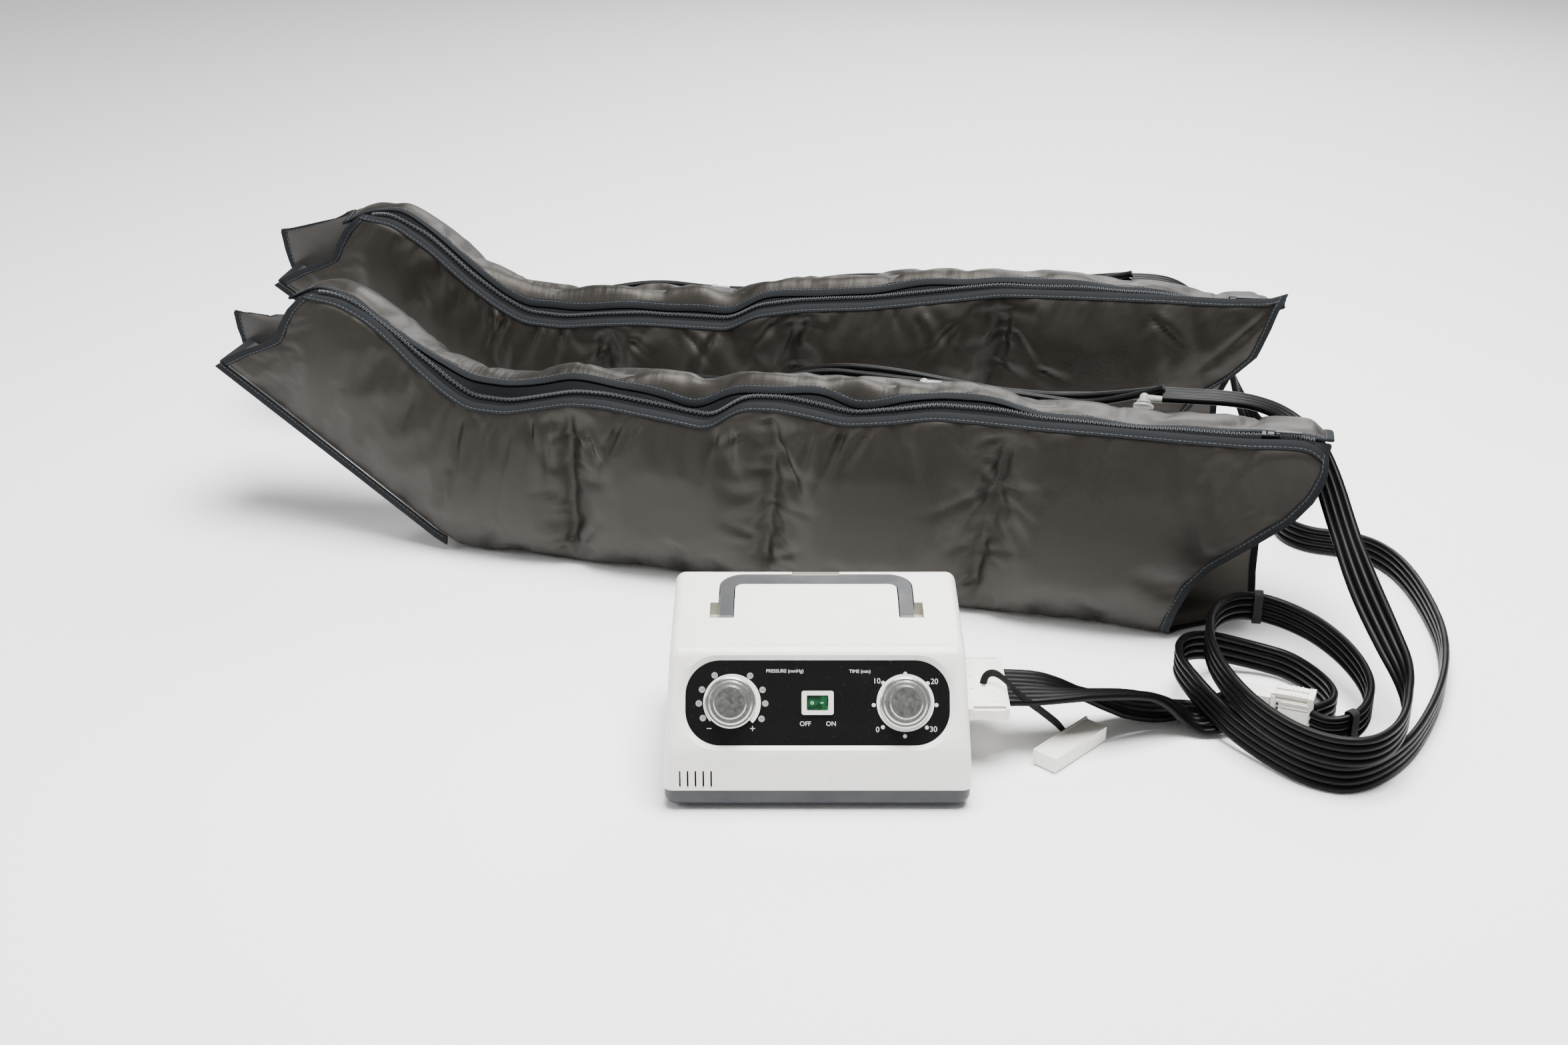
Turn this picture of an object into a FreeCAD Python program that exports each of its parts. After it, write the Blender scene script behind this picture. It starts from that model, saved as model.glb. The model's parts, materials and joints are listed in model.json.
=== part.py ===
"""Sequential air-compression pump with its two inflatable leg sleeves, hoses and couplers.

Millimetres, +Z up, X to the right across the control panel, +Y towards the back.
The origin is on the floor under the middle of the pump. Every node is one STEP file.
"""
import FreeCAD, Part
import math
import os

V = FreeCAD.Vector
UP = V(0, 0, 1)
NODES = {}

# ---- pump housing ------------------------------------------------------------------
TRAY_WIDTH = 264.0
TRAY_DEPTH = 196.0
TRAY_HEIGHT = 18.0
TRAY_CORNER = 12.0
TRAY_BOTTOM_ROUND = 9.0
FOOT_HEIGHT = 3.0
FOOT_RADIUS = 9.0
FOOT_X = 104.0
FOOT_Y = 72.0
WALL = 3.0
COVER_LIP = 1.0                    # how far the cover stands out over the tray
PANEL_SETBACK = 2.0                # the sloping control panel starts this far behind the front
PANEL_RUN = 47.0                   # and the top this far behind that
BACK_SETBACK = 10.0                # the top ends this far before the back
PANEL_FOOT_Y = PANEL_SETBACK - COVER_LIP - TRAY_DEPTH / 2
PANEL_FOOT_Z = 57.0
SHOULDER_Y = PANEL_FOOT_Y + PANEL_RUN
SHOULDER_Z = 133.0
BACK_TOP_Y = TRAY_DEPTH / 2 + COVER_LIP - BACK_SETBACK
BACK_TOP_Z = 140.0
SIDE_DRAFT = 3.3                   # degrees
PANEL_WALL = 10.0
COVER_EDGE_ROUND = 9.0
PANEL_FOOT_ROUND = 30.0
SHOULDER_ROUND = 17.0
BACK_ROUND = 13.0
POST_X = 121.0
POST_Y = 85.0
POST_RADIUS = 5.0
POST_TOP_Z = 44.0
SCREW_RADIUS = 1.5
SCREW_HEAD_RADIUS = 3.1
SCREW_LENGTH = 26.0
VENT_COUNT = 5
VENT_PITCH = 6.7
VENT_WIDTH = 1.5
VENT_HEIGHT = 16.5
VENT_FIRST_X = -117.8
VENT_FOOT_Z = 23.5
FIT = 0.1                          # parts that seat in one another
RUN = 0.4                          # parts that turn or slide past one another
SHAFT_FIT = 0.08                   # radial, shafts and pins in their bores

# ---- handle ------------------------------------------------------------------------
HANDLE_HALF_WIDTH = 85.5
HANDLE_LEG = 12.0
HANDLE_BAR = 15.0
HANDLE_REACH = 67.5                # pivot to the outside of the bar
HANDLE_THICK = 11.0
HANDLE_CORNER = 21.0
HANDLE_PIVOT_W = 57.0              # along the top, from the shoulder
HANDLE_SINK = 0.4
HANDLE_GAP = 1.2
HANDLE_PIN_RADIUS = 2.5
POCKET_WIDTH = 8.5
POCKET_LENGTH = 26.0
SCOOP_HALF_WIDTH = 21.5
SCOOP_DEPTH = 9.0
SCOOP_LENGTH = 10.0

# ---- control panel -----------------------------------------------------------------
CONTROL_V = 43.0                   # height of the knob axes up the slope
PRESSURE_X = -74.5
TIMER_X = 75.0
PRESSURE_POINTER = 238.0           # where each index line points, from the right
TIMER_POINTER = 270.0
SWITCH_X = 0.0
FASCIA_WIDTH = 226.0
FASCIA_HEIGHT = 72.6
FASCIA_CORNER = 30.0
FASCIA_THICK = 1.5
RECESS_DEPTH = 5.0
RECESS_FLARE = 8.0                 # rim outside the fascia, each side
KNOB_SKIRT_RADIUS = 21.8
KNOB_GRIP_RADIUS = 15.6
KNOB_TOP_RADIUS = 14.2
KNOB_HEIGHT = 17.0
KNOB_CAP_RADIUS = 12.1
KNOB_CAP_THICK = 1.2
DIAL_RING_RADIUS = 24.6
DIAL_RING_THICK = 1.2
SPINDLE_RADIUS = 3.0
BUSH_RADIUS = 4.4
BUSH_NUT_RADIUS = 6.4
BUSH_NUT_TALL = 1.8
SPINDLE_TAIL = 2.0                 # beyond the inner face of the panel wall
INDEX_LENGTH = 5.7
INDEX_WIDTH = 0.7
INDEX_DEPTH = 0.4
INDEX_INSET = 0.8
OPEN_RING_OFFSET = 1.4
OPEN_RING_GAP = 96.0               # degrees
DRUM_RADIUS = 16.0
DRUM_TALL = 18.0
BONNET_RADIUS = 10.0
BONNET_TALL = 9.0
TIMER_CASE = 40.0
TIMER_CASE_CORNER = 4.0
TIMER_CASE_TALL = 20.0
TIMER_CAN_RADIUS = 15.0
TIMER_CAN_TALL = 8.0
TIMER_BLADE = 8.0
BEZEL_WIDTH = 27.3
BEZEL_HEIGHT = 20.4
BEZEL_THICK = 2.0
BEZEL_CORNER = 2.0
SWITCH_BODY_WIDTH = 21.6
SWITCH_BODY_HEIGHT = 15.2
SWITCH_BODY_DEPTH = 24.0
SWITCH_BODY_CORNER = 0.8
SWITCH_BLADE = 6.0
ROCKER_HALF_WIDTH = 8.4
ROCKER_HALF_HEIGHT = 6.0
ROCKER_SWING = 7.0                 # degrees either side of level
ROCKER_PIVOT_DEPTH = 4.0           # below the top of the bezel
ROCKER_PIN_RADIUS = 1.2
ROCKER_PIN = 1.0                   # pin beyond the side of the rocker
ROCKER_CREST = 3.6                 # above the pivot
ROCKER_DIP = 2.3
ROCKER_SIDE_GAP = 0.9
ROCKER_WELL = 4.5
ROCKER_WELL_CORNER = 0.8

# ---- air side ----------------------------------------------------------------------
PORT_COUNT = 8
PORT_PITCH = 7.4
PORT_Y = 14.0
PORT_Z = 57.0
TUBE = 7.4                         # one hose of the four-way ribbon
RIBBON = 15.0                      # round tube with the section of four hoses
SOCKET_HALF = 49.0
SOCKET_THICK = 13.0
SOCKET_FACE_X = 129.5
SOCKET_BACK_X = 112.0
PLUG_HALF = 48.0
PLUG_THICK = 11.0
PLUG_INNER_X = 121.0
PLUG_SHOULDER_X = 132.6
PLUG_END_X = 170.0
PLUG_CORNER = 4.0
NOSE_INSET = 4.0
NOSE_STEP = 1.0
EYE_X = 149.6
EYE_Y = 11.0
EYE_WIDTH = 4.0
EYE_LENGTH = 9.0
LATCH_THICK = 3.2
LATCH_GAP = 2.8
LATCH_START_X = 138.0
LATCH_END_X = 166.0
LATCH_INSET = 1.0
RIB_COUNT = 3
RIB_PITCH = 4.0
RIB_WIDTH = 1.6
RIB_TALL = 0.9
RIB_INSET = 1.5
RIB_REACH = 15.0                   # first rib to the free end of the arm
CAP_LENGTH = 76.0
CAP_DEPTH = 24.0
CAP_THICK = 14.0
CAP_WALL = 2.0
CAP_RIM = 1.2
CAP_FLANGE = 2.0
CAP_AT = V(220, 3.5, 0)
CAP_YAW = 46.5
STRAP = 4.0

# ---- inside the housing ------------------------------------------------------------
INLET_X = -78.0
INLET_Z = 48.0
INLET_WIDTH = 30.0
INLET_HEIGHT = 46.0
INLET_DEPTH = 24.0
INLET_FLANGE_WIDTH = 38.0
INLET_FLANGE_HEIGHT = 52.0
INLET_FLANGE_THICK = 2.1
INLET_MOUTH_WIDTH = 24.0
INLET_MOUTH_HEIGHT = 17.0
INLET_MOUTH_DEPTH = 16.0
INLET_MOUTH_RISE = 10.0
BLADE_SPACING = 7.0                # of the mains blades, from the middle
FUSE_WIDTH = 18.0
FUSE_HEIGHT = 11.0
FUSE_DROP = 13.0
MOTOR_X = -32.0
MOTOR_Y = 14.0
MOTOR_Z = 46.0
SOLE_THICK = 2.0
SOLE_HALF_DEPTH = 24.0
YOKE_LENGTH = 56.0
YOKE_DEPTH = 52.0
YOKE_TALL = 56.0
WINDOW_HALF_DEPTH = 14.0
WINDOW_HALF_TALL = 20.0
POLE_HALF_LENGTH = 9.0
POLE_FACE = 8.0                    # from the middle of the motor
WINDING_HALF_LENGTH = 18.0
ARMATURE_HALF_DEPTH = 8.0
ARMATURE_HALF_TALL = 4.0
ARMATURE_TRAVEL = 1.5
MAGNET_PLACE = 14.0
MAGNET_HALF_LENGTH = 5.0
MAGNET_RIM = 2.0                   # magnets beyond the bar, above, below and at each side
PISTON_RADIUS = 15.7
PISTON_THICK = 2.0
PISTON_GAP = 0.3
HEAD_FACE = 42.0                   # middle of the motor to the inner face of a head
HEAD_LENGTH = 24.0
HEAD_SIZE = 50.0
HEAD_CHAMBER_DEPTH = 12.0
ISOLATOR_RADIUS = 8.0
ISOLATOR_TALL = 9.0
ISOLATOR_SPREAD = 15.0
LINK_RISE = 24.0
LINK_TURN = 10.0
SPIGOT_RADIUS = 1.9
SPIGOT = 6.0
SPIGOT_HOSE_RADIUS = 3.3
VALVE_X = 74.0
VALVE_LENGTH = 30.0
VALVE_HALF_DEPTH = 32.0
VALVE_LOW = 46.0
VALVE_TALL = 20.0
VALVE_LEG = 3.0
VALVE_ROOF = 3.0                   # of the block over the rotor
ROTOR_RADIUS = 12.0
ROTOR_THICK = 5.0
ROTOR_PORT_PLACE = 7.0
ROTOR_PORT_RADIUS = 2.0
ROTOR_SHAFT_RADIUS = 2.0
ROTOR_SHAFT_BELOW = 10.0
GEARMOTOR_RADIUS = 24.0
GEARMOTOR_TALL = 20.0
GEARMOTOR_BOSS_RADIUS = 8.0
GEARMOTOR_BOSS = 2.0
BOARD_X = -79.0
BOARD_Y = 58.0
BOARD_LENGTH = 66.0
BOARD_DEPTH = 32.0
BOARD_THICK = 1.6
BOARD_POST = 6.0

# ---- hoses -------------------------------------------------------------------------
RIBBON_THICK = 8.0
RIBBON_TALL = 30.0
COIL_FLOOR = 2.0
COIL_GAP = 0.4
NEAR_COIL = (440.0, 60.0, 66.0, 115.0)     # centre x, centre y, half width, half depth
FAR_COIL = (415.0, 55.0, 70.0, 120.0)
TIE_WIDTH = 18.0
TIE_THICK = 1.4
DOUBLE_TIE_X = 428.0
DOUBLE_TIE_Y = 171.8
DOUBLE_TIE_GAP = 4.0
SINGLE_TIE_ANGLE = -50.0           # round the coil, from +X
SINGLE_TIE_GAP = 0.9
COUPLER_LENGTH = 68.0
COUPLER_TALL = 50.0
COUPLER_THICK = 10.0
COUPLER_SPLIT = 30.0               # where the two halves meet
COUPLER_NOSE = 11.0
COUPLER_LIP = 1.6
COUPLER_STEP = 5.0
COUPLER_RIM = 4.0
COUPLER_LATCH_START = 34.0
COUPLER_LATCH_END = 62.0
COUPLER_X = 381.4
COUPLER_Y = 27.0
COUPLER_YAW = -21.0

# ---- leg sleeves -------------------------------------------------------------------
SLEEVE_THICK = 112.0
SLEEVE_WALL = 16.0                 # one inflated chamber wall
SLEEVE_FLOOR = 0.5
NEAR_SLEEVE_X = -397.0
NEAR_SLEEVE_Y = 390.0
NEAR_SLEEVE_YAW = -15.0
FAR_SLEEVE_X = -383.0
FAR_SLEEVE_Y = 664.0
FAR_SLEEVE_YAW = -10.0
HEEL = (0, 0)                      # side outline: along the leg, height
TOE_TIP = (-246, 186)
TOE_TOP = (-120, 290)
INSTEP = (45, 182)
ANKLE = (160, 204)
SHIN = (300, 196)
KNEE = (390, 222)
THIGH_TOP = (905, 240)
EDGE_HIGH = (878, 150)
EDGE_LOW = (800, 85)
EDGE_LOW_BACK = (845, 80)
THIGH_END = (765, 0)
THIGH_END_BACK = (850, 0)
OUTLINE_ROUNDS = (26, 14, 18, 70, 90, 90, 80, 26, 40, 50, 14)
FRONT_SOFTENING = 12.0             # how much smaller the panels are than the middle
BACK_SOFTENING = 34.0
SECTION_FRONT = 26.0               # full outline between these distances from the front
SECTION_BACK = 72.0
MOUTH = 30.0
CHAMBER_SEAM = 385.0                # where the calf and knee chambers meet, along the leg
NOZZLE_PLACES = (60.0, 258.0, 499.0, 721.0)
NOZZLE_SLOPE_SHARE = 0.8           # how far down the back slope they sit
NOZZLE_STEM = 10.0
NOZZLE_STEM_RADIUS = 5.0
NOZZLE_FLANGE_RADIUS = 10.0
NOZZLE_FLANGE_THICK = 2.4
NOZZLE_COLLAR_RADIUS = 7.0
NOZZLE_COLLAR_PLACE = 4.5
NOZZLE_COLLAR_THICK = 2.2
NOZZLE_ARM = 18.0
NOZZLE_ARM_RADIUS = 3.6
BRANCH_LEAD = 32.0                 # straight stretch on each nozzle's barb
BRANCH_STEP = 70.0
BRANCH_STANDOFF = 9.0              # behind the back panel
BRANCH_PITCH = 8.0
BRANCH_SWAY = 2.5
BUNDLE_PITCH = 7.6
BRANCH_ENDS = ((1, -1), (1.6, 1), (-0.2, 1.9))     # across and up in the ribbon, in half pitches
ZIP_WIDTH = 6.0
ZIP_TALL = 3.0
ZIP_LIFT = FIT + 0.2                # chain over the top edge
ZIP_T = 30.0                       # zip line, from the front of the sleeve
ZIP_MARGIN = 25.0                  # from the toe and thigh ends of the top edge
ZIP_START = TOE_TOP[0] + ZIP_MARGIN
ZIP_END = THIGH_TOP[0] - ZIP_MARGIN
SLIDER_MARGIN = 30.0
SLIDER_PLACE = ZIP_END - SLIDER_MARGIN
SLIDER_LENGTH = 18.0
SLIDER_WIDTH = 11.0
SLIDER_TALL = 6.0


# ---- drawing helpers ---------------------------------------------------------------
def save(name, shape):
    NODES[name] = shape


def box(x, y, z):
    return Part.makeBox(x[1] - x[0], y[1] - y[0], z[1] - z[0], V(x[0], y[0], z[0]))


def rod(foot, axis, radius, length):
    return Part.makeCylinder(radius, length, foot, axis)


def ring(foot, axis, outer, inner, length):
    return rod(foot, axis, outer, length).cut(rod(foot, axis, inner, length))


def joined(shapes):
    body = shapes[0]
    if len(shapes) > 1:
        body = body.fuse(shapes[1:])
    return body.removeSplitter()


def flat(z):
    return lambda a, b: V(a, b, z)


def across(x):
    return lambda a, b: V(x, a, b)


def turned(degrees):
    return V(math.cos(math.radians(degrees)), math.sin(math.radians(degrees)), 0)


def corner_wire(points, rounds, plane):
    """Closed outline through the points, each corner rounded by its own radius or left sharp."""
    corners = []
    for i, point in enumerate(points):
        here = plane(*point)
        if rounds[i] == 0:
            corners.append((here, None, here))
            continue
        back = (plane(*points[i - 1]) - here).normalize()
        on = (plane(*points[(i + 1) % len(points)]) - here).normalize()
        half = back.getAngle(on) / 2
        reach = rounds[i] / math.tan(half)
        middle = (back + on).normalize() * (rounds[i] / math.sin(half) - rounds[i])
        corners.append((here + back * reach, here + middle, here + on * reach))
    edges = []
    for i, (start, middle, end) in enumerate(corners):
        if middle is not None:
            edges.append(Part.Arc(start, middle, end).toShape())
        edges.append(Part.LineSegment(end, corners[(i + 1) % len(corners)][0]).toShape())
    return Part.Wire(edges)


def prism(points, rounds, plane, along):
    return Part.Face(corner_wire(points, rounds, plane)).extrude(along)


def inset(points, amounts):
    """Move each side of an outline inwards; side i runs from point i to point i + 1."""
    count = len(points)
    area = sum(points[i - 1][0] * points[i][1] - points[i][0] * points[i - 1][1]
               for i in range(count))
    turn = 1 if area > 0 else -1
    lines = []
    for i in range(count):
        (ax, ay), (bx, by) = points[i], points[(i + 1) % count]
        length = math.hypot(bx - ax, by - ay)
        nx, ny = -(by - ay) / length * turn, (bx - ax) / length * turn
        lines.append((nx, ny, nx * ax + ny * ay + amounts[i]))
    moved = []
    for i in range(count):
        a1, b1, c1 = lines[i - 1]
        a2, b2, c2 = lines[i]
        det = a1 * b2 - a2 * b1
        moved.append(((c1 * b2 - c2 * b1) / det, (a1 * c2 - a2 * c1) / det))
    return moved


def rectangle(width, height, middle=(0, 0)):
    a, b = width / 2, height / 2
    return [(middle[0] + x, middle[1] + y) for x, y in ((-a, -b), (a, -b), (a, b), (-a, b))]


def plate(width, height, corner, low, high, middle=(0, 0)):
    """Rounded rectangular plate between two levels."""
    return prism(rectangle(width, height, middle), [corner] * 4, flat(low), V(0, 0, high - low))


def revolved(profile, axis_point=V(0, 0, 0)):
    """Turn a closed (radius, height) profile about the local z axis."""
    wire = Part.makePolygon([axis_point + V(r, 0, h) for r, h in profile + profile[:1]])
    return Part.Face(wire).revolve(axis_point, UP, 360)


def tube(name, route, diameter):
    """Hose along straight runs joined by tangent arcs as wide as the runs allow."""
    edges = []
    radii = []
    last = V(*route[0])
    for i in range(1, len(route) - 1):
        here = V(*route[i])
        back = V(*route[i - 1]) - here
        on = V(*route[i + 1]) - here
        half_turn = (math.pi - back.getAngle(on)) / 2
        reach = 0.45 * min(back.Length, on.Length)
        radius = reach / math.tan(half_turn)
        radii.append(radius)
        start = here + back.normalize() * reach
        end = here + on.normalize() * reach
        inward = (back + on).normalize() * (radius / math.cos(half_turn) - radius)
        edges.append(Part.LineSegment(last, start).toShape())
        edges.append(Part.Arc(start, here + inward, end).toShape())
        last = end
    edges.append(Part.LineSegment(last, V(*route[-1])).toShape())
    path = Part.Wire(edges)
    length = path.Length
    heading = V(*route[1]) - V(*route[0])
    profile = Part.Wire(Part.Circle(V(*route[0]), heading, diameter / 2).toShape())
    body = path.makePipeShell([profile], True, True)
    share = body.Volume / (math.pi * diameter ** 2 / 4 * length)
    print(name, "length", round(length), "volume share", round(share, 4),
          "radii", [round(r) for r in radii])
    return body


# ---- frames on the pump ------------------------------------------------------------
PART_Z = FOOT_HEIGHT + TRAY_HEIGHT
PANEL_LEAN = math.degrees(math.atan2(SHOULDER_Y - PANEL_FOOT_Y, SHOULDER_Z - PANEL_FOOT_Z))
TOP_SLOPE = math.degrees(math.atan2(BACK_TOP_Z - SHOULDER_Z, BACK_TOP_Y - SHOULDER_Y))
COVER_WIDTH = TRAY_WIDTH + 2 * COVER_LIP
COVER_DEPTH = TRAY_DEPTH + 2 * COVER_LIP
PANEL = FreeCAD.Placement(V(0, PANEL_FOOT_Y, PANEL_FOOT_Z),
                          FreeCAD.Rotation(V(1, 0, 0), 90 - PANEL_LEAN))
TOP = FreeCAD.Placement(V(0, SHOULDER_Y, SHOULDER_Z), FreeCAD.Rotation(V(1, 0, 0), TOP_SLOPE))
FASCIA_TOP = FASCIA_THICK - RECESS_DEPTH
RING_TOP = FASCIA_TOP + DIAL_RING_THICK
BACK_LEAN = math.degrees(math.atan2(COVER_DEPTH / 2 - BACK_TOP_Y, BACK_TOP_Z - PART_Z))


def on(frame, shape):
    moved = shape.copy()
    moved.transformShape(frame.toMatrix())
    return moved


def panel_place(x):
    return FreeCAD.Placement(V(x, CONTROL_V, 0), FreeCAD.Rotation())


# ---- housing -----------------------------------------------------------------------
def cover_block(wall, panel_wall, edge_round, foot_z):
    """Side profile of the cover with drafted flanks and rounded flank edges."""
    points = [(-COVER_DEPTH / 2, PART_Z), (PANEL_FOOT_Y, PANEL_FOOT_Z),
              (SHOULDER_Y, SHOULDER_Z), (BACK_TOP_Y, BACK_TOP_Z), (COVER_DEPTH / 2, PART_Z)]
    profile = inset(points, [wall, panel_wall, wall, wall, foot_z - PART_Z])
    rounds = [0, PANEL_FOOT_ROUND, SHOULDER_ROUND - wall, BACK_ROUND - wall, 0]
    block = prism(profile, rounds, across(-COVER_WIDTH), V(2 * COVER_WIDTH, 0, 0))
    rise = BACK_TOP_Z + WALL - foot_z
    half = COVER_WIDTH / 2 - wall + (PART_Z - foot_z) * math.tan(math.radians(SIDE_DRAFT))
    lean = rise * math.tan(math.radians(SIDE_DRAFT))
    flank = Part.makePolygon([V(-half, -COVER_DEPTH, foot_z), V(half, -COVER_DEPTH, foot_z),
                              V(half - lean, -COVER_DEPTH, foot_z + rise),
                              V(lean - half, -COVER_DEPTH, foot_z + rise),
                              V(-half, -COVER_DEPTH, foot_z)])
    body = block.common(Part.Face(flank).extrude(V(0, 2 * COVER_DEPTH, 0)))
    rims = [edge for edge in body.Edges
            if abs(edge.CenterOfMass.x) > half - lean - 1 and edge.CenterOfMass.z > foot_z + 0.5]
    return body.makeFillet(edge_round, rims)


def handle_outline(grow):
    """U-shaped plan of the folded handle in the frame of the top, as outer and inner outline."""
    low = HANDLE_PIVOT_W - HANDLE_THICK / 2 - grow
    high = HANDLE_PIVOT_W + HANDLE_REACH + grow
    half = HANDLE_HALF_WIDTH + grow
    outer = [(-half, low), (half, low), (half, high), (-half, high)]
    inside = half - HANDLE_LEG - 2 * grow
    inner = [(-inside, low - 1), (inside, low - 1), (inside, high - HANDLE_BAR - 2 * grow),
             (-inside, high - HANDLE_BAR - 2 * grow)]
    return outer, inner


def handle_bar(grow, low, high):
    outer, inner = handle_outline(grow)
    body = prism(outer, [0, 0, HANDLE_CORNER + grow, HANDLE_CORNER + grow],
                 flat(low), V(0, 0, high - low))
    inner_corner = HANDLE_CORNER - HANDLE_LEG - grow
    hollow = prism(inner, [0, 0, inner_corner, inner_corner],
                   flat(low - 1), V(0, 0, high - low + 2))
    return body.cut(hollow)


def handle_well(grow, depth):
    """Groove that the handle lies in, its two pivot pockets and the finger scoop."""
    parts = [handle_bar(HANDLE_GAP + grow, -depth, 8)]
    start = HANDLE_PIVOT_W - HANDLE_THICK / 2 - HANDLE_GAP
    for side in (-1, 1):
        near = side * (HANDLE_HALF_WIDTH - HANDLE_LEG - HANDLE_GAP - grow)
        far = side * (HANDLE_HALF_WIDTH + POCKET_WIDTH + grow)
        parts.append(box(sorted((near, far)), (start - grow, start + POCKET_LENGTH + grow),
                         (-depth, 8)))
    bar_end = HANDLE_PIVOT_W + HANDLE_REACH
    parts.append(box((-SCOOP_HALF_WIDTH - grow, SCOOP_HALF_WIDTH + grow),
                     (bar_end - HANDLE_BAR, bar_end + SCOOP_LENGTH + grow),
                     (-SCOOP_DEPTH - grow, 8)))
    return joined(parts)


def upper_cover():
    outer = cover_block(0, 0, COVER_EDGE_ROUND, PART_Z)
    hollow = cover_block(WALL, PANEL_WALL, COVER_EDGE_ROUND - WALL, PART_Z - WALL)
    depth = HANDLE_THICK + HANDLE_SINK + HANDLE_GAP
    hollow = hollow.cut(on(TOP, handle_well(WALL, depth + WALL)))
    body = outer.cut(hollow).cut(on(TOP, handle_well(0, depth)))
    body = body.cut(on(PANEL, recess()))
    for x in (PRESSURE_X, TIMER_X):
        hole = rod(V(x, CONTROL_V, -2 * PANEL_WALL), UP, BUSH_RADIUS + FIT, 3 * PANEL_WALL)
        body = body.cut(on(PANEL, hole))
    slot = box((SWITCH_X - SWITCH_BODY_WIDTH / 2 - FIT, SWITCH_X + SWITCH_BODY_WIDTH / 2 + FIT),
               (CONTROL_V - SWITCH_BODY_HEIGHT / 2 - FIT, CONTROL_V + SWITCH_BODY_HEIGHT / 2 + FIT),
               (-2 * PANEL_WALL, 5))
    body = body.cut(on(PANEL, slot))
    body = body.cut(box((SOCKET_BACK_X, COVER_WIDTH),
                        (PORT_Y - SOCKET_HALF - FIT, PORT_Y + SOCKET_HALF + FIT),
                        (PORT_Z - SOCKET_THICK / 2 - FIT, PORT_Z + SOCKET_THICK / 2 + FIT)))
    for i in range(VENT_COUNT):
        x = VENT_FIRST_X + i * VENT_PITCH
        body = body.cut(box((x - VENT_WIDTH / 2, x + VENT_WIDTH / 2),
                            (-COVER_DEPTH, -COVER_DEPTH / 2 + 2 * WALL),
                            (VENT_FOOT_Z, VENT_FOOT_Z + VENT_HEIGHT)))
    body = body.cut(on(BACK, inlet_block(FIT, 2 * INLET_DEPTH)))
    return body.cut(handle_pin_rods(FIT)).fuse(cover_posts(body))


def recess():
    """Flared pocket round the fascia, in the frame of the panel."""
    middle = (0, CONTROL_V)
    width = FASCIA_WIDTH + 2 * FIT
    height = FASCIA_HEIGHT + 2 * FIT
    low = corner_wire(rectangle(width, height, middle), [FASCIA_CORNER] * 4, flat(-RECESS_DEPTH))
    seat = corner_wire(rectangle(width, height, middle), [FASCIA_CORNER] * 4, flat(FASCIA_TOP))
    flare = 2 * RECESS_FLARE
    rim = corner_wire(rectangle(width + flare, height + flare - 4, middle),
                      [FASCIA_CORNER + RECESS_FLARE] * 4, flat(1.0))
    return joined([Part.makeLoft([low, seat], True, True), Part.makeLoft([seat, rim], True, True)])


def cover_posts(body):
    posts = []
    for x in (-POST_X, POST_X):
        for y in (-POST_Y, POST_Y):
            outside = math.copysign(COVER_WIDTH / 2 - WALL + 1, x)
            post = ring(V(x, y, PART_Z), UP, POST_RADIUS, SCREW_RADIUS + FIT, POST_TOP_Z - PART_Z)
            web = box(sorted((x + math.copysign(2, x), outside)), (y - 1, y + 1),
                      (PART_Z, POST_TOP_Z - 6))
            posts.append(post.fuse(web.cut(rod(V(x, y, 0), UP, POST_RADIUS - 1, POST_TOP_Z))))
    return posts


def base_tray():
    body = plate(TRAY_WIDTH, TRAY_DEPTH, TRAY_CORNER, FOOT_HEIGHT, PART_Z)
    bottom = [edge for edge in body.Edges if edge.CenterOfMass.z < FOOT_HEIGHT + 0.1]
    body = body.makeFillet(TRAY_BOTTOM_ROUND, bottom)
    body = body.cut(plate(TRAY_WIDTH - 2 * WALL, TRAY_DEPTH - 2 * WALL, TRAY_CORNER - WALL,
                          FOOT_HEIGHT + WALL, PART_Z + 1))
    bosses = []
    for x in (-POST_X, POST_X):
        for y in (-POST_Y, POST_Y):
            bosses.append(rod(V(x, y, FOOT_HEIGHT + WALL), UP, POST_RADIUS, TRAY_HEIGHT - WALL))
    body = body.fuse(bosses)
    for x in (-POST_X, POST_X):
        for y in (-POST_Y, POST_Y):
            body = body.cut(rod(V(x, y, 0), UP, SCREW_HEAD_RADIUS + FIT, FOOT_HEIGHT + WALL + 3))
            body = body.cut(rod(V(x, y, 0), UP, SCREW_RADIUS + FIT, 99))
    for x in (-FOOT_X, FOOT_X):
        for y in (-FOOT_Y, FOOT_Y):
            body = body.cut(rod(V(x, y, 0), UP, FOOT_RADIUS / 3 + FIT, FOOT_HEIGHT + WALL + 1))
    for i in range(-4, 5):
        body = body.cut(box((i * 9 - 2, i * 9 + 2), (-30, 30), (0, FOOT_HEIGHT + WALL + 1)))
    return body


def rubber_feet():
    feet = []
    for x in (-FOOT_X, FOOT_X):
        for y in (-FOOT_Y, FOOT_Y):
            foot = rod(V(x, y, 0), UP, FOOT_RADIUS, FOOT_HEIGHT)
            feet.append(foot.fuse(rod(V(x, y, 0), UP, FOOT_RADIUS / 3, FOOT_HEIGHT + WALL)))
    return Part.makeCompound(feet)


def cover_screws():
    screws = []
    head_z = FOOT_HEIGHT + WALL + 3
    for x in (-POST_X, POST_X):
        for y in (-POST_Y, POST_Y):
            head = rod(V(x, y, head_z - 2.2), UP, SCREW_HEAD_RADIUS, 2.2)
            screws.append(head.fuse(rod(V(x, y, head_z), UP, SCREW_RADIUS, SCREW_LENGTH)))
    return Part.makeCompound(screws)


# ---- handle ------------------------------------------------------------------------
PIVOT_H = -HANDLE_SINK - HANDLE_THICK / 2


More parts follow.
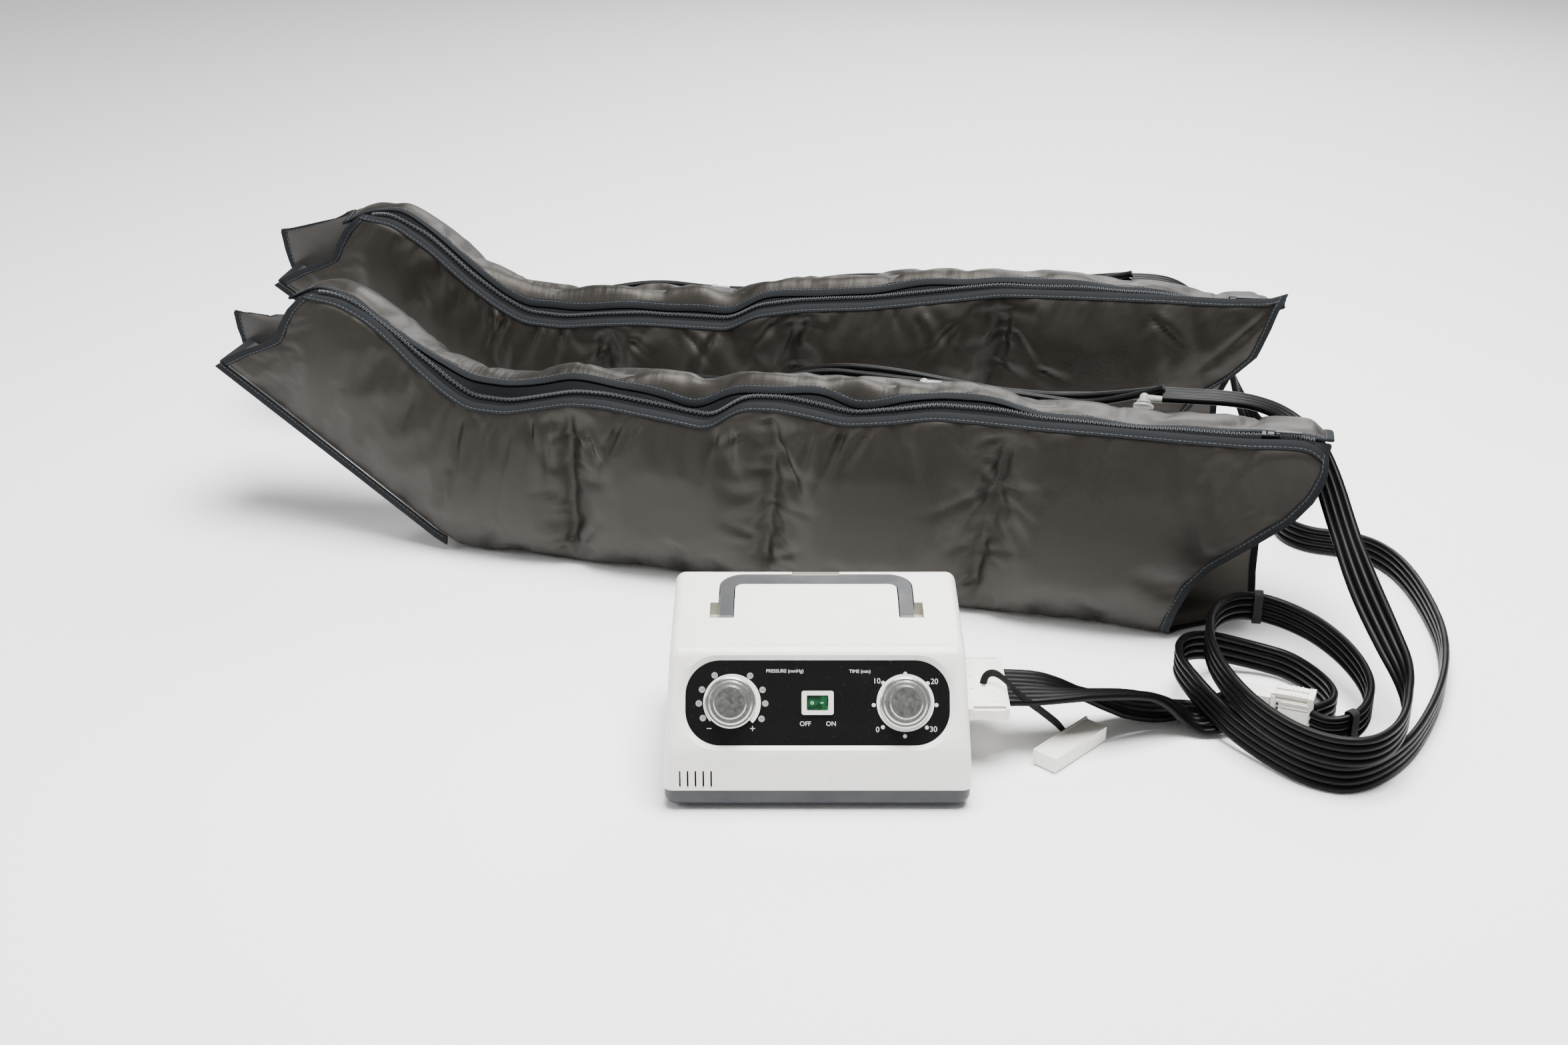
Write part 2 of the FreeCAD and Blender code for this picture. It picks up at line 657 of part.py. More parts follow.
def handle_pin_rods(grow):
    """Two pins through the leg ends, in the frame of the top, seated in the cover."""
    inner = HANDLE_HALF_WIDTH - HANDLE_LEG - HANDLE_GAP - WALL + 0.5
    outer = HANDLE_HALF_WIDTH + POCKET_WIDTH + WALL - 0.5
    pins = [rod(V(side * inner, HANDLE_PIVOT_W, PIVOT_H), V(side, 0, 0),
                HANDLE_PIN_RADIUS + grow, outer - inner) for side in (-1, 1)]
    return on(TOP, Part.makeCompound(pins))


def carry_handle():
    low = -HANDLE_SINK - HANDLE_THICK
    bar = handle_bar(0, low, -HANDLE_SINK)
    for side in (-1, 1):
        leg = sorted((side * (HANDLE_HALF_WIDTH + 1), side * (HANDLE_HALF_WIDTH - HANDLE_LEG - 1)))
        bar = bar.cut(box(leg, (0, HANDLE_PIVOT_W), (low - 1, 1)))
        start = V(min(side * HANDLE_HALF_WIDTH, side * (HANDLE_HALF_WIDTH - HANDLE_LEG)),
                  HANDLE_PIVOT_W, PIVOT_H)
        bar = bar.fuse(rod(start, V(1, 0, 0), HANDLE_THICK / 2, HANDLE_LEG))
        bar = bar.cut(rod(start - V(1, 0, 0), V(1, 0, 0), HANDLE_PIN_RADIUS + SHAFT_FIT, HANDLE_LEG + 2))
    return on(TOP, bar.removeSplitter())


# ---- controls ----------------------------------------------------------------------
def fascia():
    body = plate(FASCIA_WIDTH, FASCIA_HEIGHT, FASCIA_CORNER, -RECESS_DEPTH, FASCIA_TOP, (0, CONTROL_V))
    for x in (PRESSURE_X, TIMER_X):
        body = body.cut(rod(V(x, CONTROL_V, -RECESS_DEPTH - 1), UP, BUSH_NUT_RADIUS + FIT, RECESS_DEPTH + 1))
    slot = plate(SWITCH_BODY_WIDTH + 2 * FIT, SWITCH_BODY_HEIGHT + 2 * FIT, SWITCH_BODY_CORNER,
                 -RECESS_DEPTH - 1, 1, (SWITCH_X, CONTROL_V))
    return on(PANEL, body.cut(slot))


def knob_profile(base):
    """Skirt, two concentric steps and a tapering grip with a seat for the cap."""
    top = base + KNOB_HEIGHT
    return [(SPINDLE_RADIUS + FIT, base + 1), (BUSH_NUT_RADIUS + 1, base + 1),
            (BUSH_NUT_RADIUS + 1, base), (KNOB_SKIRT_RADIUS, base),
            (KNOB_SKIRT_RADIUS, base + 1.6), (KNOB_SKIRT_RADIUS - 1.2, base + 2.6),
            (KNOB_SKIRT_RADIUS - 2.8, base + 2.6), (KNOB_SKIRT_RADIUS - 4.4, base + 4.2),
            (KNOB_GRIP_RADIUS, base + 4.2), (KNOB_TOP_RADIUS, top - 0.8),
            (KNOB_TOP_RADIUS - 0.8, top), (KNOB_CAP_RADIUS + FIT, top),
            (KNOB_CAP_RADIUS + FIT, top - KNOB_CAP_THICK), (SPINDLE_RADIUS + FIT, top - KNOB_CAP_THICK)]


KNOB_BASE = RING_TOP + RUN


def knob(x, name, pointer):
    """One rotary control above the fascia: knob, cap with its index groove and spindle."""
    place = panel_place(x)
    save(name + "_knob", on(PANEL, on(place, revolved(knob_profile(KNOB_BASE)))))
    cap_top = KNOB_BASE + KNOB_HEIGHT
    cap = rod(V(0, 0, cap_top - KNOB_CAP_THICK), UP, KNOB_CAP_RADIUS, KNOB_CAP_THICK)
    groove = box((KNOB_CAP_RADIUS - INDEX_LENGTH - INDEX_INSET, KNOB_CAP_RADIUS - INDEX_INSET),
                 (-INDEX_WIDTH / 2, INDEX_WIDTH / 2), (cap_top - INDEX_DEPTH, cap_top + 1))
    groove.rotate(V(0, 0, 0), UP, pointer)
    save(name + "_knob_cap", on(PANEL, on(place, cap.cut(groove))))
    foot = -PANEL_WALL - SPINDLE_TAIL
    spindle = rod(V(0, 0, foot), UP, SPINDLE_RADIUS, cap_top - KNOB_CAP_THICK - foot)
    save(name + "_spindle", on(PANEL, on(place, spindle)))


def bushed_body(x, body):
    """A body behind the panel whose bush passes the panel and takes a nut on the cover."""
    bore_radius = SPINDLE_RADIUS + SHAFT_FIT
    bush = ring(V(0, 0, -PANEL_WALL), UP, BUSH_RADIUS, bore_radius,
                PANEL_WALL - RECESS_DEPTH + BUSH_NUT_TALL)
    nut = ring(V(0, 0, -RECESS_DEPTH), UP, BUSH_NUT_RADIUS, BUSH_RADIUS, BUSH_NUT_TALL)
    foot = -PANEL_WALL - SPINDLE_TAIL - RUN
    bore = rod(V(0, 0, foot), UP, bore_radius, -foot)
    return on(PANEL, on(panel_place(x), joined([body.cut(bore), bush, nut])))


def pressure_valve():
    """Bleed valve: drum, bonnet step and a hose barb."""
    drum = rod(V(0, 0, -PANEL_WALL - DRUM_TALL), UP, DRUM_RADIUS, DRUM_TALL)
    base = rod(V(0, 0, -PANEL_WALL - DRUM_TALL - BONNET_TALL), UP, BONNET_RADIUS, BONNET_TALL)
    barb = rod(V(0, 0, -PANEL_WALL - DRUM_TALL - BONNET_TALL / 2), V(0, -1, 0), SPIGOT_RADIUS,
               BONNET_RADIUS + SPIGOT)
    return bushed_body(PRESSURE_X, joined([drum, base, barb]))


def timer_mechanism():
    """Clockwork timer: square case, rounded gear can and two blade terminals."""
    case = plate(TIMER_CASE, TIMER_CASE, TIMER_CASE_CORNER, -PANEL_WALL - TIMER_CASE_TALL, -PANEL_WALL)
    foot = -PANEL_WALL - TIMER_CASE_TALL - TIMER_CAN_TALL
    can = rod(V(0, 0, foot), UP, TIMER_CAN_RADIUS, TIMER_CAN_TALL)
    blades = [box((side * TIMER_BLADE - 0.4, side * TIMER_BLADE + 0.4),
                  (-TIMER_CAN_RADIUS - 3, -TIMER_CAN_RADIUS + 1), (foot, foot + TIMER_CAN_TALL))
              for side in (-1, 1)]
    return bushed_body(TIMER_X, joined([case, can] + blades))


def dial_rings():
    """Plate rings under the knobs: one open at the bottom for pressure and a full one for time."""
    full = ring(V(0, 0, FASCIA_TOP), UP, DIAL_RING_RADIUS, BUSH_NUT_RADIUS + FIT, DIAL_RING_THICK)
    offset = ring(V(OPEN_RING_OFFSET, 0, FASCIA_TOP), UP, DIAL_RING_RADIUS,
                  BUSH_NUT_RADIUS + OPEN_RING_OFFSET + FIT, DIAL_RING_THICK)
    reach = 2 * DIAL_RING_RADIUS
    low = FASCIA_TOP - 1
    left = turned(270 - OPEN_RING_GAP / 2) * reach
    right = turned(270 + OPEN_RING_GAP / 2) * reach
    gap = Part.makePolygon([V(0, 0, low), V(left.x, left.y, low), V(0, -2 * reach, low),
                            V(right.x, right.y, low), V(0, 0, low)])
    offset = offset.cut(Part.Face(gap).extrude(V(0, 0, DIAL_RING_THICK + 2)))
    return Part.makeCompound([on(PANEL, on(panel_place(PRESSURE_X), offset)),
                              on(PANEL, on(panel_place(TIMER_X), full))])


def switch():
    """Rocker switch: bezel and body in one moulding, and the rocker on two pins."""
    top = FASCIA_TOP + BEZEL_THICK
    pivot = top - ROCKER_PIVOT_DEPTH
    foot = top - SWITCH_BODY_DEPTH
    bezel = plate(BEZEL_WIDTH, BEZEL_HEIGHT, BEZEL_CORNER, FASCIA_TOP, top)
    body = plate(SWITCH_BODY_WIDTH, SWITCH_BODY_HEIGHT, SWITCH_BODY_CORNER, foot, FASCIA_TOP)
    blades = [box((side * SWITCH_BLADE - 3, side * SWITCH_BLADE + 3), (-0.4, 0.4), (foot - 8, foot + 1))
              for side in (-1, 1)]
    pin_reach = ROCKER_HALF_HEIGHT + ROCKER_PIN
    shell = joined([bezel, body] + blades)
    shell = shell.cut(plate(2 * (ROCKER_HALF_WIDTH + ROCKER_SIDE_GAP), 2 * (ROCKER_HALF_HEIGHT + RUN),
                            ROCKER_WELL_CORNER, pivot - ROCKER_WELL, top + 1))
    shell = shell.cut(rod(V(0, -pin_reach - RUN / 2, pivot), V(0, 1, 0), ROCKER_PIN_RADIUS + SHAFT_FIT,
                          2 * pin_reach + RUN))
    save("switch_housing", on(PANEL, on(panel_place(SWITCH_X), shell)))
    w = ROCKER_HALF_WIDTH
    section = [V(-w, 0, ROCKER_CREST), V(0, 0, ROCKER_DIP), V(w, 0, ROCKER_CREST), V(w - 0.6, 0, -0.6),
               V(w - 2.4, 0, -2.2), V(2.4 - w, 0, -2.2), V(0.6 - w, 0, -0.6), V(-w, 0, ROCKER_CREST)]
    rocker = Part.Face(Part.makePolygon(section)).extrude(V(0, 2 * ROCKER_HALF_HEIGHT, 0))
    rocker.translate(V(0, -ROCKER_HALF_HEIGHT, 0))
    rocker = rocker.fuse(rod(V(0, -pin_reach, 0), V(0, 1, 0), ROCKER_PIN_RADIUS, 2 * pin_reach))
    rocker.rotate(V(0, 0, 0), V(0, 1, 0), -ROCKER_SWING)
    rocker.translate(V(0, 0, pivot))
    save("switch_rocker", on(PANEL, on(panel_place(SWITCH_X), rocker)))


# ---- mains inlet -------------------------------------------------------------------
BACK = FreeCAD.Placement(
    V(INLET_X, COVER_DEPTH / 2 - (INLET_Z - PART_Z) * math.tan(math.radians(BACK_LEAN)), INLET_Z),
    FreeCAD.Rotation(UP, 180) * FreeCAD.Rotation(V(1, 0, 0), 90 - BACK_LEAN))


def inlet_block(grow, depth):
    return box((-INLET_WIDTH / 2 - grow, INLET_WIDTH / 2 + grow),
               (-INLET_HEIGHT / 2 - grow, INLET_HEIGHT / 2 + grow), (-depth, 1))


def mains_inlet():
    """Appliance inlet with its flange, recess, three blades and the fuse drawer."""
    flange_top = FIT + INLET_FLANGE_THICK
    flange = plate(INLET_FLANGE_WIDTH, INLET_FLANGE_HEIGHT, 3, FIT, flange_top)
    body = joined([inlet_block(0, INLET_DEPTH), flange])
    body = body.cut(plate(INLET_MOUTH_WIDTH, INLET_MOUTH_HEIGHT, 3, -INLET_MOUTH_DEPTH, flange_top + 1,
                          (0, INLET_MOUTH_RISE)))
    body = body.cut(plate(FUSE_WIDTH, FUSE_HEIGHT, 1, flange_top - 1, flange_top + 1, (0, -FUSE_DROP)))
    places = ((-BLADE_SPACING, -2), (BLADE_SPACING, -2), (0, 3))
    blades = [box((x - 1, x + 1), (INLET_MOUTH_RISE + y - 2, INLET_MOUTH_RISE + y + 2),
                  (-INLET_MOUTH_DEPTH - 1, -2)) for x, y in places]
    return on(BACK, body.fuse(blades))


# ---- compressor and air distributor ------------------------------------------------
FLOOR_Z = FOOT_HEIGHT + WALL
SOLE_Z = FLOOR_Z + ISOLATOR_TALL
HEAD_FAR = HEAD_FACE + HEAD_LENGTH
HEAD_TOP = MOTOR_Z + HEAD_SIZE / 2


def compressor_frame():
    """Sole plate, laminated yoke with two poles and the window for the armature."""
    sole = box((MOTOR_X - HEAD_FAR - 1, MOTOR_X + HEAD_FAR + 1),
               (MOTOR_Y - SOLE_HALF_DEPTH, MOTOR_Y + SOLE_HALF_DEPTH), (SOLE_Z, SOLE_Z + SOLE_THICK))
    yoke = box((MOTOR_X - YOKE_LENGTH / 2, MOTOR_X + YOKE_LENGTH / 2),
               (MOTOR_Y - YOKE_DEPTH / 2, MOTOR_Y + YOKE_DEPTH / 2),
               (SOLE_Z + SOLE_THICK, SOLE_Z + SOLE_THICK + YOKE_TALL))
    window = box((MOTOR_X - YOKE_LENGTH, MOTOR_X + YOKE_LENGTH),
                 (MOTOR_Y - WINDOW_HALF_DEPTH, MOTOR_Y + WINDOW_HALF_DEPTH),
                 (MOTOR_Z - WINDOW_HALF_TALL, MOTOR_Z + WINDOW_HALF_TALL))
    poles = [box((MOTOR_X - POLE_HALF_LENGTH, MOTOR_X + POLE_HALF_LENGTH),
                 (MOTOR_Y - WINDOW_HALF_DEPTH, MOTOR_Y + WINDOW_HALF_DEPTH),
                 sorted((MOTOR_Z + side * POLE_FACE, MOTOR_Z + side * (WINDOW_HALF_TALL + 1))))
             for side in (-1, 1)]
    return joined([sole, yoke.cut(window)] + poles)


def compressor_coils():
    """One winding round each pole."""
    coils = []
    for side in (-1, 1):
        tall = sorted((MOTOR_Z + side * (POLE_FACE + 1), MOTOR_Z + side * (WINDOW_HALF_TALL - FIT)))
        coil = box((MOTOR_X - WINDING_HALF_LENGTH, MOTOR_X + WINDING_HALF_LENGTH),
                   (MOTOR_Y - WINDOW_HALF_DEPTH + FIT, MOTOR_Y + WINDOW_HALF_DEPTH - FIT), tall)
        hole = box((MOTOR_X - POLE_HALF_LENGTH - FIT, MOTOR_X + POLE_HALF_LENGTH + FIT),
                   (MOTOR_Y - WINDOW_HALF_DEPTH, MOTOR_Y + WINDOW_HALF_DEPTH), tall)
        coils += coil.cut(hole).Solids
    return Part.makeCompound(coils)


def compressor_armature():
    """Magnet bar that shuttles between the poles and drives a piston disc in each head."""
    reach = HEAD_FACE + PISTON_THICK + 2 * ARMATURE_TRAVEL
    bar = box((MOTOR_X - reach, MOTOR_X + reach),
              (MOTOR_Y - ARMATURE_HALF_DEPTH, MOTOR_Y + ARMATURE_HALF_DEPTH),
              (MOTOR_Z - ARMATURE_HALF_TALL, MOTOR_Z + ARMATURE_HALF_TALL))
    deep = ARMATURE_HALF_DEPTH + MAGNET_RIM
    tall = ARMATURE_HALF_TALL + MAGNET_RIM
    pieces = [bar]
    for side in (-1, 1):
        middle = MOTOR_X + side * MAGNET_PLACE
        pieces.append(box((middle - MAGNET_HALF_LENGTH, middle + MAGNET_HALF_LENGTH),
                          (MOTOR_Y - deep, MOTOR_Y + deep), (MOTOR_Z - tall, MOTOR_Z + tall)))
        pieces.append(rod(V(MOTOR_X + side * reach, MOTOR_Y, MOTOR_Z), V(-side, 0, 0),
                          PISTON_RADIUS, PISTON_THICK))
    return joined(pieces)


def compressor_heads():
    """Two heads, each with a chamber open to the armature and a spigot for the hose that joins them."""
    heads = []
    for side in (-1, 1):
        near = MOTOR_X + side * HEAD_FACE
        far = MOTOR_X + side * HEAD_FAR
        body = box(sorted((near, far)), (MOTOR_Y - HEAD_SIZE / 2, MOTOR_Y + HEAD_SIZE / 2),
                   (SOLE_Z + SOLE_THICK, HEAD_TOP))
        body = body.cut(rod(V(near, MOTOR_Y, MOTOR_Z), V(side, 0, 0), PISTON_RADIUS + PISTON_GAP,
                            HEAD_CHAMBER_DEPTH))
        body = body.fuse(rod(V((near + far) / 2, MOTOR_Y, HEAD_TOP - 1), UP, SPIGOT_RADIUS, SPIGOT + 1))
        if side == 1:
            body = body.fuse(rod(V(far - 1, PORT_Y, PORT_Z), V(1, 0, 0), SPIGOT_RADIUS, SPIGOT + 1))
        heads.append(body)
    return Part.makeCompound(heads)


def isolator_mounts():
    middle = HEAD_FACE + HEAD_LENGTH / 2
    mounts = [rod(V(MOTOR_X + sx * middle, MOTOR_Y + sy * ISOLATOR_SPREAD, FLOOR_Z), UP,
                  ISOLATOR_RADIUS, ISOLATOR_TALL) for sx in (-1, 1) for sy in (-1, 1)]
    return Part.makeCompound(mounts)


def port_places():
    return [PORT_Y + (i - (PORT_COUNT - 1) / 2) * PORT_PITCH for i in range(PORT_COUNT)]


ROTOR_LOW = VALVE_LOW + VALVE_TALL - VALVE_ROOF - ROTOR_THICK - RUN
SHAFT_LOW = VALVE_LOW - ROTOR_SHAFT_BELOW


def distributor_body():
    """Rotary valve block on two legs, with an inlet, eight outlet spigots and the rotor chamber."""
    x0, x1 = VALVE_X - VALVE_LENGTH / 2, VALVE_X + VALVE_LENGTH / 2
    block = box((x0, x1), (PORT_Y - VALVE_HALF_DEPTH, PORT_Y + VALVE_HALF_DEPTH),
                (VALVE_LOW, VALVE_LOW + VALVE_TALL))
    legs = [box((x0, x1), sorted((PORT_Y + side * VALVE_HALF_DEPTH,
                                  PORT_Y + side * (VALVE_HALF_DEPTH - VALVE_LEG))), (FLOOR_Z, VALVE_LOW))
            for side in (-1, 1)]
    body = joined([block] + legs)
    body = body.cut(rod(V(VALVE_X, PORT_Y, ROTOR_LOW - RUN), UP, ROTOR_RADIUS + RUN, ROTOR_THICK + 2 * RUN))
    body = body.cut(rod(V(VALVE_X, PORT_Y, VALVE_LOW - 1), UP, ROTOR_SHAFT_RADIUS + SHAFT_FIT,
                        ROTOR_LOW - VALVE_LOW + 1))
    spigots = [rod(V(x1 - 1, y, PORT_Z), V(1, 0, 0), SPIGOT_RADIUS, SPIGOT + 1) for y in port_places()]
    inlet = rod(V(x0 + 1, PORT_Y, PORT_Z), V(-1, 0, 0), SPIGOT_RADIUS, SPIGOT + 1)
    return joined([body, inlet] + spigots)


def distributor_rotor():
    """Ported valve disc on the motor shaft."""
    disc = rod(V(VALVE_X, PORT_Y, ROTOR_LOW), UP, ROTOR_RADIUS, ROTOR_THICK)
    disc = disc.cut(rod(V(VALVE_X + ROTOR_PORT_PLACE, PORT_Y, ROTOR_LOW - 1), UP, ROTOR_PORT_RADIUS,
                        ROTOR_THICK + 2))
    return disc.fuse(rod(V(VALVE_X, PORT_Y, SHAFT_LOW), UP, ROTOR_SHAFT_RADIUS, ROTOR_LOW - SHAFT_LOW + 1))


def distributor_motor():
    """Slow synchronous motor hung under the valve block, with a bore for the rotor's shaft."""
    can = rod(V(VALVE_X, PORT_Y, VALVE_LOW - GEARMOTOR_BOSS - GEARMOTOR_TALL), UP,
              GEARMOTOR_RADIUS, GEARMOTOR_TALL)
    boss = rod(V(VALVE_X, PORT_Y, VALVE_LOW - GEARMOTOR_BOSS - 1), UP, GEARMOTOR_BOSS_RADIUS,
               GEARMOTOR_BOSS + 1)
    bore = rod(V(VALVE_X, PORT_Y, SHAFT_LOW - RUN), UP, ROTOR_SHAFT_RADIUS + SHAFT_FIT, VALVE_LOW)
    return joined([can, boss]).cut(bore)


def hose_sleeve(start, end_x):
    """Straight hose between two spigots that face each other along X."""
    return ring(start, V(1, 0, 0), SPIGOT_HOSE_RADIUS, SPIGOT_RADIUS + FIT, end_x - start.x)


def manifold_hoses():
    start = VALVE_X + VALVE_LENGTH / 2 + FIT
    return Part.makeCompound([hose_sleeve(V(start, y, PORT_Z), SOCKET_BACK_X - FIT) for y in port_places()])


def air_feed_hoses():
    """Hose from the near head to the distributor, and the hose over the yoke that joins the heads."""
    feed = hose_sleeve(V(MOTOR_X + HEAD_FAR + FIT, PORT_Y, PORT_Z), VALVE_X - VALVE_LENGTH / 2 - FIT)
    middle = HEAD_FACE + HEAD_LENGTH / 2
    low, high = HEAD_TOP + FIT, HEAD_TOP + LINK_RISE
    side = [(middle, low), (middle, high - LINK_TURN), (middle - LINK_TURN, high)]
    route = [(MOTOR_X - x, MOTOR_Y, z) for x, z in side] + [(MOTOR_X + x, MOTOR_Y, z) for x, z in side[::-1]]
    link = tube("head_link", route, 2 * SPIGOT_HOSE_RADIUS)
    link = link.cut(tube("head_link_bore", route, 2 * (SPIGOT_RADIUS + FIT)))
    return Part.makeCompound([feed, link])


def circuit_board():
    """Supply board on four posts with a transformer, a capacitor and a terminal strip."""
    low = FLOOR_Z + BOARD_POST
    top = low + BOARD_THICK
    left, right = BOARD_X - BOARD_LENGTH / 2, BOARD_X + BOARD_LENGTH / 2
    front, back = BOARD_Y - BOARD_DEPTH / 2, BOARD_Y + BOARD_DEPTH / 2
    board = box((left, right), (front, back), (low, top))
    posts = [rod(V(x, y, FLOOR_Z), UP, 2.5, BOARD_POST) for x in (left + 4, right - 4)
             for y in (front + 4, back - 4)]
    transformer = box((left + 8, left + 32), (front + 3, front + 21), (top, top + 11))
    capacitor = rod(V(right - 24, front + 10, top), UP, 5, 14)
    terminals = box((right - 18, right - 4), (front + 8, front + 20), (top, top + 8))
    return joined([board, transformer, capacitor, terminals] + posts)


# ---- outlet socket, plug and blanking cap ------------------------------------------
def outlet_socket():
    """Eight-way socket in the right flank: frame, mouth and inside spigots."""
    body = box((SOCKET_BACK_X, SOCKET_FACE_X), (PORT_Y - SOCKET_HALF, PORT_Y + SOCKET_HALF),
               (PORT_Z - SOCKET_THICK / 2, PORT_Z + SOCKET_THICK / 2))
    half, thick = PLUG_HALF - NOSE_INSET + RUN, PLUG_THICK / 2 - NOSE_STEP + RUN
    body = body.cut(box((PLUG_INNER_X - RUN, SOCKET_FACE_X + 1), (PORT_Y - half, PORT_Y + half),
                        (PORT_Z - thick, PORT_Z + thick)))
    spigots = [rod(V(SOCKET_BACK_X + 1, place, PORT_Z), V(-1, 0, 0), SPIGOT_RADIUS, SPIGOT + 1)
               for place in port_places()]
    return joined([body] + spigots)


def plug_body():
    """Flat eight-way plug: nose in the socket, notched grip for two latches, eye for the strap."""
    half, thick = PLUG_HALF - NOSE_INSET, PLUG_THICK / 2 - NOSE_STEP
    nose = box((PLUG_INNER_X, PLUG_SHOULDER_X + 1), (PORT_Y - half, PORT_Y + half),
               (PORT_Z - thick, PORT_Z + thick))
    grip = plate(PLUG_END_X - PLUG_SHOULDER_X, 2 * PLUG_HALF, PLUG_CORNER,
                 PORT_Z - PLUG_THICK / 2, PORT_Z + PLUG_THICK / 2,
                 ((PLUG_END_X + PLUG_SHOULDER_X) / 2, PORT_Y))
    body = joined([nose, grip])
    for side in (-1, 1):
        notch = sorted((PORT_Y + side * (PLUG_HALF + 1),
                        PORT_Y + side * (PLUG_HALF - LATCH_THICK - LATCH_GAP)))
        body = body.cut(box((LATCH_START_X - RUN, LATCH_END_X + RUN), notch, (0, PORT_Z + PLUG_THICK)))
    eye = plate(EYE_WIDTH, EYE_LENGTH, EYE_WIDTH / 3, 0, PORT_Z + PLUG_THICK, (EYE_X, EYE_Y))
    return body.cut(eye)


def grip_ribs(start):
    """Starts and ends of the grip ribs along a latch arm, worked out from its free end."""
    return [(start + i * RIB_PITCH, start + i * RIB_PITCH + RIB_WIDTH) for i in range(RIB_COUNT)]


def plug_latch(side):
    """Squeeze latch in the side of the plug: arm and grip ribs."""
    face = PORT_Y + side * PLUG_HALF
    arm = box((LATCH_START_X, LATCH_END_X), sorted((face, face - side * LATCH_THICK)),
              (PORT_Z - PLUG_THICK / 2 + LATCH_INSET, PORT_Z + PLUG_THICK / 2 - LATCH_INSET))
    ribs = [box(x, sorted((face, face + side * RIB_TALL)),
                (PORT_Z - PLUG_THICK / 2 + RIB_INSET, PORT_Z + PLUG_THICK / 2 - RIB_INSET))
            for x in grip_ribs(LATCH_END_X - RIB_REACH)]
    return joined([arm] + ribs)


def blanking_cap():
    """Open-mouthed cap for the socket, lying on its side."""
    half = CAP_LENGTH / 2
    body = box((-half, half), (-CAP_DEPTH, 0), (CAP_RIM, CAP_RIM + CAP_THICK))
    flange = box((-half - CAP_RIM, half + CAP_RIM), (-CAP_FLANGE, 0), (0, CAP_THICK + 2 * CAP_RIM))
    cap = joined([body, flange])
    cap = cap.cut(box((CAP_WALL - half, half - CAP_WALL), (CAP_WALL - CAP_DEPTH, 1),
                      (CAP_RIM + CAP_WALL, CAP_RIM + CAP_THICK - CAP_WALL)))
    return on(FreeCAD.Placement(CAP_AT, FreeCAD.Rotation(UP, CAP_YAW)), cap)


# ---- coupler pair and coil ---------------------------------------------------------
COUPLER = FreeCAD.Placement(V(COUPLER_X, COUPLER_Y, 0), FreeCAD.Rotation(UP, COUPLER_YAW))


def coupler(name, shift):
    """Four-way coupler standing on edge: socket half, plug half and the upper squeeze latch."""
    y = (shift, shift + COUPLER_THICK)
    mouth = (y[0] + COUPLER_LIP, y[1] - COUPLER_LIP)
    nose_y = (mouth[0] + RUN, mouth[1] - RUN)
    start = COUPLER_SPLIT - COUPLER_NOSE
    low = COUPLER_STEP + COUPLER_RIM
    socket = box((0, COUPLER_SPLIT - RUN), y, (COUPLER_STEP, COUPLER_TALL - COUPLER_STEP))
    socket = socket.cut(box((start - RUN, COUPLER_SPLIT), mouth, (low, COUPLER_TALL - low)))
    nose = box((start, COUPLER_SPLIT + 1), nose_y, (low + RUN, COUPLER_TALL - low - RUN))
    grip = box((COUPLER_SPLIT, COUPLER_LENGTH), y, (0, COUPLER_TALL))
    grip = grip.cut(box((COUPLER_LATCH_START - RUN, COUPLER_LATCH_END + RUN), (y[0] - 1, y[1] + 1),
                        (COUPLER_TALL - LATCH_THICK - LATCH_GAP, COUPLER_TALL + 1)))
    arm = box((COUPLER_LATCH_START, COUPLER_LATCH_END), (y[0] + LATCH_INSET, y[1] - LATCH_INSET),
              (COUPLER_TALL - LATCH_THICK, COUPLER_TALL))
    ribs = [box(x, (y[0] + RIB_INSET, y[1] - RIB_INSET), (COUPLER_TALL, COUPLER_TALL + RIB_TALL))
            for x in grip_ribs(COUPLER_LATCH_END - RIB_REACH)]
    save(name + "_coupler_socket", on(COUPLER, socket))
    save(name + "_coupler_plug", on(COUPLER, joined([nose, grip])))
    save(name + "_coupler_latch", on(COUPLER, joined([arm] + ribs)))


def coil(spec, low):
    """Outer shape of one loose coil of ribbon hose standing on its edge."""
    x, y, a, b = spec
    bodies = []
    for half in (RIBBON_THICK / 2, -RIBBON_THICK / 2):
        edge = Part.Ellipse(V(x, y, low), b + half, a + half).toShape()
        edge.rotate(V(x, y, low), UP, 90)
        bodies.append(Part.Face(Part.Wire(edge)).extrude(V(0, 0, RIBBON_TALL)))
    return bodies[0].cut(bodies[1])


NEAR_COIL_LOW = COIL_FLOOR + RIBBON_TALL + COIL_GAP


def tie(place, yaw, gap, low):
    """Hook-and-loop band round what stands between two heights, wide enough for the ribbon's curve."""
    inside = RIBBON_THICK / 2 + gap
    high = NEAR_COIL_LOW + RIBBON_TALL
    hole = box((-TIE_WIDTH, TIE_WIDTH), (-inside, inside), (low - COIL_GAP / 2, high + COIL_GAP / 2))
    band = box((-TIE_WIDTH / 2, TIE_WIDTH / 2), (-inside - TIE_THICK, inside + TIE_THICK),
               (low - COIL_GAP / 2 - TIE_THICK, high + COIL_GAP / 2 + TIE_THICK))
    return on(FreeCAD.Placement(place, FreeCAD.Rotation(UP, yaw)), band.cut(hole))


